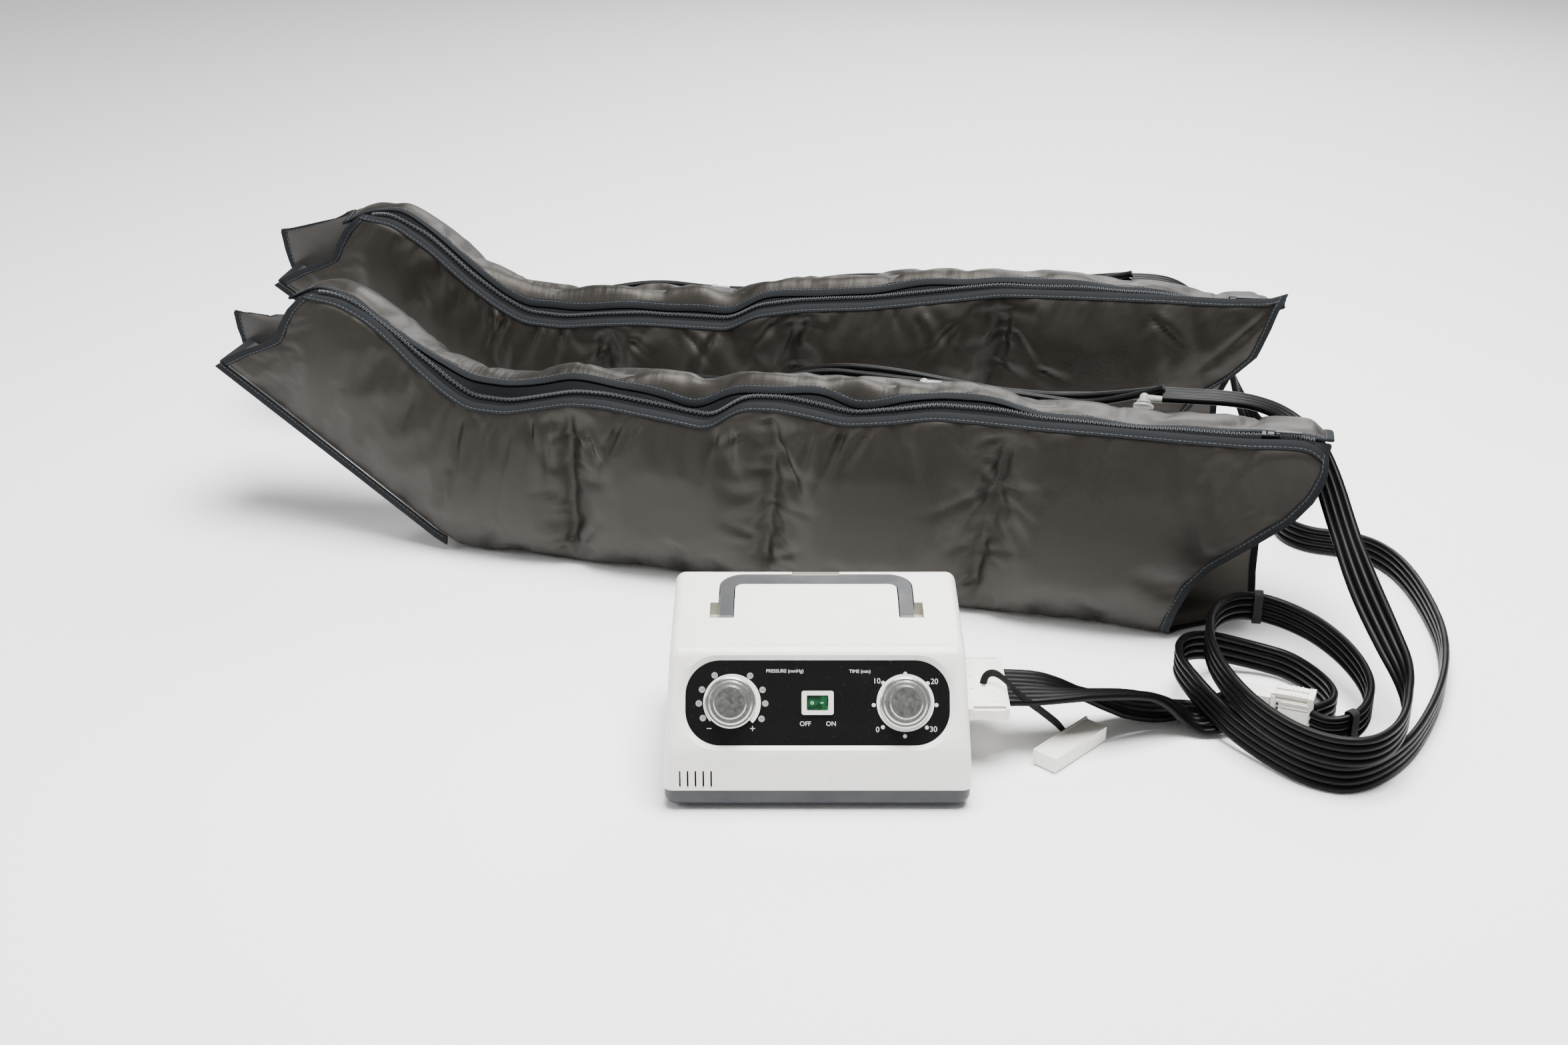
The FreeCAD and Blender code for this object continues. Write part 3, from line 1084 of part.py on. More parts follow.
def hose_ties():
    """Two hook-and-loop bands: one round both coils, one round the upper coil alone."""
    x, y, a, b = NEAR_COIL
    turn = math.radians(SINGLE_TIE_ANGLE)
    place = V(x + a * math.cos(turn), y + b * math.sin(turn), 0)
    yaw = math.degrees(math.atan2(b * math.cos(turn), -a * math.sin(turn)))
    return Part.makeCompound([tie(V(DOUBLE_TIE_X, DOUBLE_TIE_Y, 0), 0, DOUBLE_TIE_GAP, COIL_FLOOR),
                              tie(place, yaw, SINGLE_TIE_GAP, NEAR_COIL_LOW)])


# ---- hose routes: hand-chosen points along each hose -------------------------------
PUMP_HOSE_REAR = [(170, 28.8, 57), (196, 28.8, 57), (219, 37, 48), (239, 48, 33), (261, 62, 20.5),
                  (290, 75, 15.3), (322, 79, 15), (342.2, 72, 15)]
PUMP_HOSE_FRONT = [(170, -0.8, 57), (196, -0.8, 57), (219, 8, 49.5), (238, 21, 37), (257, 37, 24),
                   (282, 50, 16), (312, 51, 15), (340.8, 34.4, 15)]
CAP_STRAP = [(149.6, 11, 62.6), (150.2, 11.6, 68), (154, 12, 73), (160.5, 8, 75.3), (168, -2, 73.5),
             (176, -11, 68), (187, -15, 59.5), (199, -9.5, 47.5), (211, -0.5, 33), (220, 7, 21),
             (225, 12, 12)]
NEAR_HOSE_DROP = [(346.4, 309.1, 218.3), (374, 301.8, 219.5), (405, 296.5, 220), (437, 294, 216),
                  (466, 287, 205), (487, 262, 187), (496, 222, 164), (502, 176, 136),
                  (508, 124, 106), (515, 74, 80), (521, 32, 62), (522, -4, 51), (517, -40, 48),
                  (492, -67, 47.4), (456, -72, 47.6), (430, -64.5, 47.4)]
FAR_HOSE_RUN = [(364.6, 648.2, 218.3), (391, 643.8, 219.5), (419, 645, 212), (443, 649, 194.5),
                (461, 652, 170), (474, 653, 142), (486, 653, 110), (498, 652, 78), (513, 648, 49),
                (532, 636, 27), (552, 610, 16.5), (562, 574, 15), (557, 536, 15), (538, 501, 15),
                (513, 467, 15), (506, 441, 15), (513, 415, 15), (532, 396, 15), (558, 389, 15),
                (587, 376, 15.2), (606, 346, 15), (615, 300, 15.2), (615, 240, 15), (606, 176, 15.2),
                (588, 108, 15), (562, 42, 15.2), (535, -8, 15.5), (503, -46, 16), (463, -71, 15.6),
                (424, -75, 15.5)]


# ---- leg sleeves -------------------------------------------------------------------
def sleeve_frame(at, yaw):
    """Local x along the leg from the heel, y from the front panel to the back panel, z up."""
    return FreeCAD.Placement(at + V(0, 0, SLEEVE_FLOOR), FreeCAD.Rotation(UP, yaw))


def outline(back):
    low, end = (EDGE_LOW_BACK, THIGH_END_BACK) if back else (EDGE_LOW, THIGH_END)
    return [HEEL, TOE_TIP, TOE_TOP, INSTEP, ANKLE, SHIN, KNEE, THIGH_TOP, EDGE_HIGH, low, end]


def section(depth, shrink, mouths):
    """Outline of the sleeve at one depth; the toe and thigh ends may run out past the edge."""
    back = depth > SLEEVE_THICK / 2
    amounts = [shrink] * 11
    if mouths:
        amounts[1] = amounts[7] = amounts[8] = amounts[9] = -MOUTH
    points = inset(outline(back), amounts)
    bulges = (1, 1, 1, -1, 1, -1, 1, 1, 1, -1, 1)
    rounds = [max(4.0, r - b * shrink) for r, b in zip(OUTLINE_ROUNDS, bulges)]
    if mouths:
        rounds[1] = rounds[2] = rounds[7] = rounds[10] = 4.0
    return corner_wire(points, rounds, lambda s, h: V(s, depth, h))


def pillow(wall):
    """Loft of four outlines: two soft panels with a full-size band between them."""
    mouths = wall > 0
    middle = wall
    return Part.makeLoft([section(wall, FRONT_SOFTENING + wall, mouths),
                          section(max(SECTION_FRONT, wall + 6), middle, mouths),
                          section(SECTION_BACK - wall / 2, middle, mouths),
                          section(SLEEVE_THICK - wall, BACK_SOFTENING + wall / 2, mouths)], True, True)


def top_height(s):
    """Height of the top outline above the sole at a distance along the leg."""
    line = [TOE_TOP, INSTEP, ANKLE, SHIN, KNEE, THIGH_TOP]
    for (a, ah), (b, bh) in zip(line, line[1:]):
        if a <= s <= b:
            return ah + (bh - ah) * (s - a) / (b - a)
    return line[-1][1]


BACK_SLOPE = V(0, BACK_SOFTENING, SLEEVE_THICK - SECTION_BACK).normalize()


def nozzle_foot(place):
    """Middle of a nozzle's flange on the back slope, a little under the surface."""
    depth = SECTION_BACK + NOZZLE_SLOPE_SHARE * (SLEEVE_THICK - SECTION_BACK)
    return V(place, depth, top_height(place) - NOZZLE_SLOPE_SHARE * BACK_SOFTENING)


def barb_end(place):
    return nozzle_foot(place) + BACK_SLOPE * NOZZLE_STEM + V(NOZZLE_ARM, 0, 0)


def air_nozzles(sleeve):
    """Four flanged elbows welded to the slope behind the zip, their barbs pointing up the leg."""
    bodies = []
    for place in NOZZLE_PLACES:
        foot = nozzle_foot(place)
        root = foot - BACK_SLOPE * NOZZLE_FLANGE_THICK
        elbow_at = foot + BACK_SLOPE * NOZZLE_STEM
        flange = rod(root, BACK_SLOPE, NOZZLE_FLANGE_RADIUS, 2 * NOZZLE_FLANGE_THICK)
        stem = rod(foot, BACK_SLOPE, NOZZLE_STEM_RADIUS, NOZZLE_STEM)
        collar = rod(foot + BACK_SLOPE * NOZZLE_COLLAR_PLACE, BACK_SLOPE, NOZZLE_COLLAR_RADIUS,
                     NOZZLE_COLLAR_THICK)
        elbow = Part.makeSphere(NOZZLE_STEM_RADIUS, elbow_at)
        arm = rod(elbow_at, V(1, 0, 0), NOZZLE_ARM_RADIUS, NOZZLE_ARM)
        bodies.append(joined([flange, stem, collar, elbow, arm]).cut(sleeve))
    return Part.makeCompound(bodies)


def zip_band(low, high, half_width):
    """Strip that follows the top outline between two heights above it."""
    base = outline(False)
    rounds_low = [max(4.0, r) for r in OUTLINE_ROUNDS]
    outer = prism(inset(base, [-high] * 11), rounds_low, lambda s, h: V(s, ZIP_T - half_width, h),
                  V(0, 2 * half_width, 0))
    inner = prism(inset(base, [-low] * 11), rounds_low, lambda s, h: V(s, ZIP_T - half_width - 1, h),
                  V(0, 2 * half_width + 2, 0))
    keep = Part.Face(Part.makePolygon([V(ZIP_START, 0, 150), V(INSTEP[0], 0, 120), V(ZIP_END, 0, 200),
                                       V(ZIP_END, 0, 320), V(ZIP_START, 0, 320), V(ZIP_START, 0, 150)]))
    return outer.cut(inner).common(keep.extrude(V(0, SLEEVE_THICK, 0)))


def zip_slider(frame):
    """Slider that straddles the coil chain, its pull lying back along it."""
    rise = math.degrees(math.atan2(THIGH_TOP[1] - KNEE[1], THIGH_TOP[0] - KNEE[0]))
    half = SLIDER_WIDTH / 2
    block = box((-SLIDER_LENGTH / 2, SLIDER_LENGTH / 2), (-half, half), (0.7, ZIP_TALL + SLIDER_TALL))
    block = block.cut(box((-SLIDER_LENGTH, SLIDER_LENGTH), (-ZIP_WIDTH / 2 - RUN, ZIP_WIDTH / 2 + RUN),
                          (0, ZIP_TALL + 0.3 + RUN)))
    bail = box((-3, 3), (-2.5, 2.5), (ZIP_TALL + SLIDER_TALL - 0.5, ZIP_TALL + SLIDER_TALL + 2))
    pull = box((2, 26), (-3, 3), (ZIP_TALL + SLIDER_TALL + 0.5, ZIP_TALL + SLIDER_TALL + 2))
    body = joined([block, bail, pull])
    body.rotate(V(0, 0, 0), V(0, 1, 0), -rise)
    body.translate(V(SLIDER_PLACE, ZIP_T, top_height(SLIDER_PLACE)))
    return on(frame, body)


def branch_route(index):
    """Hose from one nozzle along the back panel to the start of the four-way ribbon."""
    barb = barb_end(NOZZLE_PLACES[index])
    lift = barb.z - top_height(NOZZLE_PLACES[index])
    depth = SLEEVE_THICK + BRANCH_STANDOFF + (len(NOZZLE_PLACES) - 2 - index) * BRANCH_PITCH
    start = barb.x + BRANCH_LEAD
    end = bundle_place(0, 0)
    count = max(2, round((end.x - start) / BRANCH_STEP))
    points = [barb, barb + V(BRANCH_LEAD, 0, 0)]
    for i in range(1, count):
        along = start + (end.x - start) * i / count
        sway = BRANCH_SWAY * (-1) ** (i // 2)
        points.append(V(along, depth, top_height(along) + lift + sway))
    points.append(bundle_place(*BRANCH_ENDS[index]))
    return points


def bundle_place(side, row):
    """Centre of one of the four hoses at the last nozzle, where they come together as a ribbon."""
    return barb_end(NOZZLE_PLACES[-1]) + V(0, 1 + side, 1 + row) * (BUNDLE_PITCH / 2)


def sleeve_set(name, at, yaw):
    """Saves one leg's pieces and gives back its zip chain."""
    frame = sleeve_frame(at, yaw)
    sleeve = pillow(0).cut(pillow(SLEEVE_WALL))
    past = 2 * THIGH_TOP[0]
    upper = box((CHAMBER_SEAM, past), (-SLEEVE_THICK, 2 * SLEEVE_THICK), (-SLEEVE_THICK, past))
    save(name + "_foot_sleeve", on(frame, sleeve.cut(upper)))
    save(name + "_thigh_sleeve", on(frame, sleeve.common(upper)))
    save(name + "_air_nozzles", on(frame, air_nozzles(sleeve)))
    save(name + "_zip_slider", zip_slider(frame))
    hoses = []
    for i in range(len(NOZZLE_PLACES) - 1):
        route = [frame.multVec(point) for point in branch_route(i)]
        hoses.append(tube(name + "_branch_%d" % (i + 1), route, TUBE))
    save(name + "_branch_hoses", Part.makeCompound(hoses))
    return on(frame, zip_band(ZIP_LIFT, ZIP_LIFT + ZIP_TALL, ZIP_WIDTH / 2))


# ---- assembly ----------------------------------------------------------------------
def build():
    save("base_tray", base_tray())
    save("upper_cover", upper_cover())
    save("rubber_feet", rubber_feet())
    save("cover_screws", cover_screws())
    save("carry_handle", carry_handle())
    save("handle_pins", handle_pin_rods(0))
    save("control_fascia", fascia())
    save("dial_rings", dial_rings())
    knob(PRESSURE_X, "pressure", PRESSURE_POINTER)
    knob(TIMER_X, "timer", TIMER_POINTER)
    save("pressure_valve", pressure_valve())
    save("timer_mechanism", timer_mechanism())
    switch()
    save("mains_inlet", mains_inlet())
    save("circuit_board", circuit_board())
    save("compressor_frame", compressor_frame())
    save("compressor_coils", compressor_coils())
    save("compressor_armature", compressor_armature())
    save("compressor_heads", compressor_heads())
    save("isolator_mounts", isolator_mounts())
    save("distributor_body", distributor_body())
    save("distributor_rotor", distributor_rotor())
    save("distributor_motor", distributor_motor())
    save("air_feed_hose", air_feed_hoses())
    save("manifold_hoses", manifold_hoses())
    save("outlet_socket", outlet_socket())
    save("plug_body", plug_body())
    save("plug_front_latch", plug_latch(-1))
    save("plug_rear_latch", plug_latch(1))
    save("blanking_cap", blanking_cap())
    save("cap_strap", tube("cap_strap", CAP_STRAP, STRAP))
    save("pump_hose_rear", tube("pump_hose_rear", PUMP_HOSE_REAR, RIBBON))
    save("pump_hose_front", tube("pump_hose_front", PUMP_HOSE_FRONT, RIBBON))
    coupler("near", 0.0)
    coupler("far", COUPLER_THICK + 0.3)
    save("far_hose_coil", coil(FAR_COIL, COIL_FLOOR))
    save("near_hose_coil", coil(NEAR_COIL, NEAR_COIL_LOW))
    save("hose_ties", hose_ties())
    save("near_hose_drop", tube("near_hose_drop", NEAR_HOSE_DROP, RIBBON))
    save("far_hose_run", tube("far_hose_run", FAR_HOSE_RUN, RIBBON))
    near_chain = sleeve_set("near", V(NEAR_SLEEVE_X, NEAR_SLEEVE_Y, 0), NEAR_SLEEVE_YAW)
    far_chain = sleeve_set("far", V(FAR_SLEEVE_X, FAR_SLEEVE_Y, 0), FAR_SLEEVE_YAW)
    save("zip_chains", Part.makeCompound([near_chain, far_chain]))


build()
os.makedirs("parts", exist_ok=True)
for node, shape in NODES.items():
    if not shape.isValid():
        raise ValueError(node + " is not a valid shape")
    shape.exportStep("parts/" + node + ".step")
    print(node, round(shape.Volume / 1000, 2), "cm3", len(shape.Solids), "solids")
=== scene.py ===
"""Compression pump with two leg sleeves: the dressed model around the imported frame."""
import json
import math
import random
from contextlib import contextmanager

import bpy
import numpy as np
from mathutils import Matrix, Vector

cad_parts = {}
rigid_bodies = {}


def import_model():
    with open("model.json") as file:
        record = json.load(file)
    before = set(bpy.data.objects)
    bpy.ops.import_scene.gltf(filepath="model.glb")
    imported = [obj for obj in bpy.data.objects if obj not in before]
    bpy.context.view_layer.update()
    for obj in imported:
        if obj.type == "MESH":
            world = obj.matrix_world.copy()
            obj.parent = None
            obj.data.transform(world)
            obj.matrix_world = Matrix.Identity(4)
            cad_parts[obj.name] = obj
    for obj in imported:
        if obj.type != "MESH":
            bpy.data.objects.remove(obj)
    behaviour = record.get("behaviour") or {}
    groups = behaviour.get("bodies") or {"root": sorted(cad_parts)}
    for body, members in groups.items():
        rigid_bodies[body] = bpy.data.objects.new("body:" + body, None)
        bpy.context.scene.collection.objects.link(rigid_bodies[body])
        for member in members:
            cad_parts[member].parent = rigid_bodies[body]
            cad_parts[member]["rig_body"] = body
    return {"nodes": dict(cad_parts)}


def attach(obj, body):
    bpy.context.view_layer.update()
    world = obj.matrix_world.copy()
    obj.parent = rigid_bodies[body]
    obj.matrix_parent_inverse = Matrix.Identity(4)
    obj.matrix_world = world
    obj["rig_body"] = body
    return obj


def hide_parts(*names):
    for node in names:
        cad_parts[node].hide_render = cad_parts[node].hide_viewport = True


bl_info = {
    "name": "Leg compression pump",
    "version": (1, 0, 0),
    "blender": (4, 5, 0),
    "location": "3D View > Sidebar > Leg Pump",
    "description": "Air pump, ribbon hoses and two quilted leg sleeves, built on the CAD frame",
    "category": "Object",
}

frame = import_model()
MM = 0.001
ROOT = "pump_set"
MERGE_DISTANCE = 1e-6               # new points closer than this are one
CAD_MERGE_DISTANCE = 2e-6           # the same for a copy of a CAD mesh
MIX_FIRST, MIX_SECOND, MIX_RESULT = 6, 7, 2     # the colour sockets of a Mix node


# ---- colours and sizes a user may change -------------------------------------------
def tone(red, green, blue):
    """Scene-linear colour of an 8-bit screen colour."""
    values = [c / 255 for c in (red, green, blue)]
    return tuple(v / 12.92 if v <= 0.04045 else ((v + 0.055) / 1.055) ** 2.4 for v in values)


def colour_property(label, about, *rgb):
    return bpy.props.FloatVectorProperty(name=label, description=about, subtype="COLOR", size=3,
                                         min=0.0, max=1.0, default=tone(*rgb))


def length_property(label, about, value):
    return bpy.props.FloatProperty(name=label, description=about, default=value, subtype="DISTANCE",
                                   unit="LENGTH", min=0.0)


class PumpLooks(bpy.types.PropertyGroup):
    cover: colour_property("Cover", "Ivory moulding of the upper cover", 232, 230, 222)
    tray: colour_property("Tray", "Grey base tray and handle", 29, 32, 37)
    fascia: colour_property("Fascia", "Glossy film of the control panel", 10, 10, 11)
    knob: colour_property("Knob", "Satin metal of the two knobs", 196, 196, 192)
    rocker: colour_property("Rocker", "Tinted rocker of the switch", 2, 44, 22)
    print_ink: colour_property("Print", "Ink of the numbers round the dials", 196, 196, 192)
    letter_height: length_property("Letter height", "Height of the figures in the dial dots", 2.5 * MM)
    dot_radius: length_property("Dot radius", "Radius of the dot under a dial figure", 2.7 * MM)


class HoseLooks(bpy.types.PropertyGroup):
    rubber: colour_property("Hose", "Charcoal of the four-way ribbon hoses", 4, 4, 4.5)
    connector: colour_property("Connector", "Warm ivory of the plug and couplers", 238, 236, 228)
    strap: colour_property("Strap", "Woven cord that holds the blanking cap", 12, 12, 13)
    tube_pitch: length_property("Tube pitch", "Distance between two tubes of a ribbon", 7.4 * MM)
    tube_radius: length_property("Tube radius", "Outside radius of one tube", 3.8 * MM)
    ring_spacing: length_property("Ring spacing", "Length of one step along a hose mesh", 4.0 * MM)


class SleeveLooks(bpy.types.PropertyGroup):
    fabric: colour_property("Fabric", "Coated nylon of the sleeves", 24, 21.5, 19)
    lining: colour_property("Lining", "Smooth inside of the sleeves", 38, 34, 30)
    binding: colour_property("Binding", "Grosgrain tape over every edge", 18, 20.5, 23.5)
    thread: colour_property("Thread", "Stitching on the tapes", 62, 66, 70)
    chain: colour_property("Zip", "Coil of the zips", 50, 53, 56)
    nozzle: colour_property("Nozzle", "Welded air nozzles", 138, 143, 134)
    quad: length_property("Cloth mesh", "Side of a cloth quad before subdivision", 6.5 * MM)
    swell: length_property("Swell", "Furthest that the pressure may push a point", 15 * MM)
    tape_width: length_property("Tape width", "Width of the binding tape on one face", 8.5 * MM)
    stitch: length_property("Stitch", "Length of one stitch and the gap after it", 4.6 * MM)
    pressure: bpy.props.FloatProperty(name="Pressure", description="Air pressure in the cloth step",
                                      default=9.0, min=0.0, max=20.0)
    slack: bpy.props.FloatProperty(name="Slack", description="Spare cloth that becomes wrinkles",
                                   default=0.03, min=0.0, max=0.2, subtype="FACTOR")
    frames: bpy.props.IntProperty(name="Cloth frames", description="Steps of the cloth simulation",
                                  default=22, min=1, max=60)


class StageLooks(bpy.types.PropertyGroup):
    floor: colour_property("Floor", "Pale seamless floor", 250, 250, 250)
    lens: bpy.props.FloatProperty(name="Lens", description="Focal length of the camera",
                                  default=48.98, min=10.0, max=200.0, unit="CAMERA")
    soft_light: bpy.props.FloatProperty(name="Soft light", description="Power of the large overhead light",
                                        default=168.0, min=0.0, max=1000.0, unit="POWER")


# ---- small modelling helpers --------------------------------------------------------
def deselect():
    if bpy.context.object and bpy.context.object.mode != "OBJECT":
        bpy.ops.object.mode_set(mode="OBJECT")
    bpy.ops.object.select_all(action="DESELECT")


def pick(piece):
    deselect()
    piece.select_set(True)
    bpy.context.view_layer.objects.active = piece
    return piece


@contextmanager
def editing(piece):
    """Edit mode with the whole piece selected."""
    pick(piece)
    bpy.ops.object.mode_set(mode="EDIT")
    bpy.ops.mesh.select_all(action="SELECT")
    yield
    bpy.ops.object.mode_set(mode="OBJECT")


def read_points(piece, what="co"):
    """The piece's vertex places or normals, one row for each."""
    values = np.zeros(len(piece.data.vertices) * 3)
    piece.data.vertices.foreach_get(what, values)
    return values.reshape(-1, 3)


def lay_points(piece, places):
    piece.data.vertices.foreach_set("co", places.ravel())
    piece.data.update()


def named(piece, name):
    piece.name = name
    piece.data.name = name
    return piece


def apply_modifier(piece, kind, **settings):
    pick(piece)
    modifier = piece.modifiers.new(kind.title(), kind)
    for key, value in settings.items():
        setattr(modifier, key, value)
    bpy.ops.object.modifier_apply(modifier=modifier.name)
    return piece


def smooth(piece, degrees=35.0):
    pick(piece)
    bpy.ops.object.shade_smooth_by_angle(angle=math.radians(degrees))
    return piece


def blocks(name, place, parts):
    """Small bevelled bars joined into one piece; parts lists (size, centre, bevel) in the place's axes."""
    made = []
    for size, at, round_by in parts:
        deselect()
        bpy.ops.mesh.primitive_cube_add(size=1.0)
        block = bpy.context.object
        block.matrix_world = place @ Matrix.Translation(at) @ Matrix.Diagonal((*size, 1))
        with editing(set_down(block)):
            bpy.ops.mesh.bevel(offset=round_by, segments=2, affect="EDGES")
        made.append(block)
    return smooth(join(made, name), 40)


def set_down(piece):
    """Puts the piece's place into its mesh, so that its object sits at the origin."""
    pick(piece)
    bpy.ops.object.transform_apply(location=True, rotation=True, scale=True)
    return piece


def join(pieces, name):
    deselect()
    for piece in pieces:
        piece.select_set(True)
    bpy.context.view_layer.objects.active = pieces[0]
    if len(pieces) > 1:
        bpy.ops.object.join()
    return named(bpy.context.object, name)


def weave_grid(name, places, closed=False, caps=False):
    """A grid primitive whose point (column, row) is laid where the table places[column][row] says.
    closed joins the last row to the first; caps closes both ends of such a tube."""
    places = np.asarray(places, float)
    columns, rows = places.shape[:2]
    if closed:
        places = np.concatenate([places, places[:, :1]], axis=1)
        rows += 1
    deselect()
    bpy.ops.mesh.primitive_grid_add(x_subdivisions=columns - 1, y_subdivisions=rows - 1, size=1.0,
                                    calc_uvs=True)
    piece = named(bpy.context.object, name)
    flat = read_points(piece)
    column = np.rint((flat[:, 0] + 0.5) * (columns - 1)).astype(int)
    row = np.rint((flat[:, 1] + 0.5) * (rows - 1)).astype(int)
    lay_points(piece, places[column, row])
    stretch_uv(piece, places)
    if closed:
        with editing(piece):
            bpy.ops.mesh.remove_doubles(threshold=MERGE_DISTANCE)
            if caps:
                bpy.ops.mesh.select_all(action="DESELECT")
                bpy.ops.mesh.select_non_manifold()
                bpy.ops.mesh.fill_holes(sides=0)
            bpy.ops.mesh.select_all(action="SELECT")
            bpy.ops.mesh.normals_make_consistent(inside=False)
    return piece


def stretch_uv(piece, places):
    """Scales the grid's own UV map to metres along and across, so that a weave keeps its size."""
    middle = places[:, places.shape[1] // 2]
    along = np.linalg.norm(np.diff(middle, axis=0), axis=1).sum()
    across = np.linalg.norm(np.diff(places[places.shape[0] // 2], axis=0), axis=1).sum()
    layer = piece.data.uv_layers.active.data
    values = np.zeros(len(layer) * 2)
    layer.foreach_get("uv", values)
    values = values.reshape(-1, 2) * (along, across)
    layer.foreach_set("uv", values.ravel())


def scattered(name, template, places):
    """One mesh of many copies of a small template, each turned and moved by its 4x4 matrix."""
    points = read_points(template)
    faces = [list(face.vertices) for face in template.data.polygons]
    all_points, all_faces = [], []
    for number, place in enumerate(places):
        matrix = np.array(place)
        all_points.append(points @ matrix[:3, :3].T + matrix[:3, 3])
        shift = number * len(points)
        all_faces += [[index + shift for index in face] for face in faces]
    mesh = bpy.data.meshes.new(name)
    mesh.from_pydata(np.concatenate(all_points).tolist(), [], all_faces)
    mesh.update()
    piece = bpy.data.objects.new(name, mesh)
    bpy.context.scene.collection.objects.link(piece)
    bpy.data.objects.remove(template)
    return piece


def turned(axis_x, axis_y, axis_z, origin):
    """A 4x4 place with the given axes and origin."""
    matrix = Matrix.Identity(4)
    for column, axis in enumerate((axis_x, axis_y, axis_z, origin)):
        for row in range(3):
            matrix[row][column] = axis[row]
    return matrix


def unit(vectors):
    vectors = np.asarray(vectors, float)
    return vectors / np.maximum(np.linalg.norm(vectors, axis=-1, keepdims=True), 1e-12)


def resampled(points, spacing):
    """The same line with evenly spaced points."""
    points = np.asarray(points, float)
    steps = np.linalg.norm(np.diff(points, axis=0), axis=1)
    far = np.concatenate([[0], np.cumsum(steps)])
    count = max(2, int(round(far[-1] / spacing)) + 1)
    wanted = np.linspace(0, far[-1], count)
    return np.stack([np.interp(wanted, far, points[:, k]) for k in range(3)], axis=1)


def route_line(name, controls, spacing):
    """Evenly spaced points read from a smooth NURBS line over listed controls in millimetres."""
    curve = bpy.data.curves.new(name + "_route", "CURVE")
    curve.dimensions = "3D"
    spline = curve.splines.new("NURBS")
    spline.points.add(len(controls) - 1)
    for point, place in zip(spline.points, controls):
        point.co = (place[0] * MM, place[1] * MM, place[2] * MM, 1.0)
    spline.order_u = 3
    spline.use_endpoint_u = True
    spline.resolution_u = 16
    holder = bpy.data.objects.new(name + "_route", curve)
    bpy.context.scene.collection.objects.link(holder)
    line = bpy.data.meshes.new_from_object(holder)
    points = [tuple(vertex.co) for vertex in line.vertices]
    bpy.data.objects.remove(holder)
    bpy.data.meshes.remove(line)
    return resampled(points, spacing)


def finish_piece(piece, material, body, slot, *nodes):
    """Gives a piece its material and the body that it rides, and hides the CAD nodes it stands for; its slot
    is not used.
    """
    piece.data.materials.clear()
    piece.data.materials.append(material)
    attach(piece, body)
    if nodes:
        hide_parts(*nodes)
    return piece


# ---- materials ----------------------------------------------------------------------
class Wiring:
    """One procedural material: a shader and the nodes that feed it."""

    def __init__(self, name, colour, roughness, **sockets):
        self.material = bpy.data.materials.new(name)
        self.material.use_nodes = True
        self.material.diffuse_color = (*colour, 1.0)
        self.tree = self.material.node_tree
        self.shader = self.tree.nodes["Principled BSDF"]
        self.shader.inputs["Base Color"].default_value = (*colour, 1.0)
        self.shader.inputs["Roughness"].default_value = roughness
        for key, value in sockets.items():
            self.shader.inputs[key.replace("_", " ")].default_value = value
        self.colour = colour
        self.base = None
        self.normal = None
        place = self.tree.nodes.new("ShaderNodeTexCoord")
        self.object_place = place.outputs["Object"]
        self.uv_place = place.outputs["UV"]

    def node(self, kind, links=None, values=None, **settings):
        node = self.tree.nodes.new(kind)
        for key, value in settings.items():
            setattr(node, key, value)
        for key, value in (values or {}).items():
            node.inputs[key].default_value = value
        for key, source in (links or {}).items():
            self.tree.links.new(source, node.inputs[key])
        return node

    def noise(self, scale, detail=3.0, place=None, rough=0.55):
        return self.node("ShaderNodeTexNoise", {"Vector": place or self.object_place},
                         {"Scale": scale, "Detail": detail, "Roughness": rough}).outputs["Fac"]

    def span(self, source, low, high, from_low=0.3, from_high=0.7):
        return self.node("ShaderNodeMapRange", {"Value": source},
                         {"From Min": from_low, "From Max": from_high, "To Min": low,
                          "To Max": high}).outputs["Result"]

    def maths(self, operation, a, b=None):
        node = self.node("ShaderNodeMath", operation=operation)
        for index, value in enumerate((a, b)):
            if value is None:
                continue
            if isinstance(value, (int, float)):
                node.inputs[index].default_value = value
            else:
                self.tree.links.new(value, node.inputs[index])
        return node.outputs[0]

    def tint(self, factor, colour, amount=1.0):
        """Mixes another colour over what there is, by a pattern."""
        mix = self.node("ShaderNodeMix", data_type="RGBA")
        share = self.maths("MULTIPLY", factor, amount)
        self.tree.links.new(share, mix.inputs["Factor"])
        if self.base is None:
            mix.inputs[MIX_FIRST].default_value = (*self.colour, 1.0)
        else:
            self.tree.links.new(self.base, mix.inputs[MIX_FIRST])
        mix.inputs[MIX_SECOND].default_value = (*colour, 1.0)
        self.base = mix.outputs[MIX_RESULT]
        self.tree.links.new(self.base, self.shader.inputs["Base Color"])
        return self

    def gloss(self, factor, low, high):
        self.tree.links.new(self.span(factor, low, high), self.shader.inputs["Roughness"])
        return self

    def relief(self, height, distance, strength=1.0):
        bump = self.node("ShaderNodeBump", {"Height": height}, {"Distance": distance, "Strength": strength})
        if self.normal is not None:
            self.tree.links.new(self.normal, bump.inputs["Normal"])
        self.normal = bump.outputs["Normal"]
        self.tree.links.new(self.normal, self.shader.inputs["Normal"])
        return self

    def edge_wear(self, colour, amount=0.35, radius=0.0012):
        """Rubbed or dusty edges, found by how fast the surface turns."""
        turn = self.node("ShaderNodeBevel", {}, {"Radius": radius}, samples=4).outputs["Normal"]
        flat = self.node("ShaderNodeNewGeometry").outputs["Normal"]
        same = self.node("ShaderNodeVectorMath", {0: turn, 1: flat},
                         operation="DOT_PRODUCT").outputs["Value"]
        worn = self.maths("SUBTRACT", 1.0, same)
        patchy = self.maths("MULTIPLY", self.span(worn, 0.0, 1.0, 0.02, 0.25), self.noise(140, 4))
        return self.tint(patchy, colour, amount)


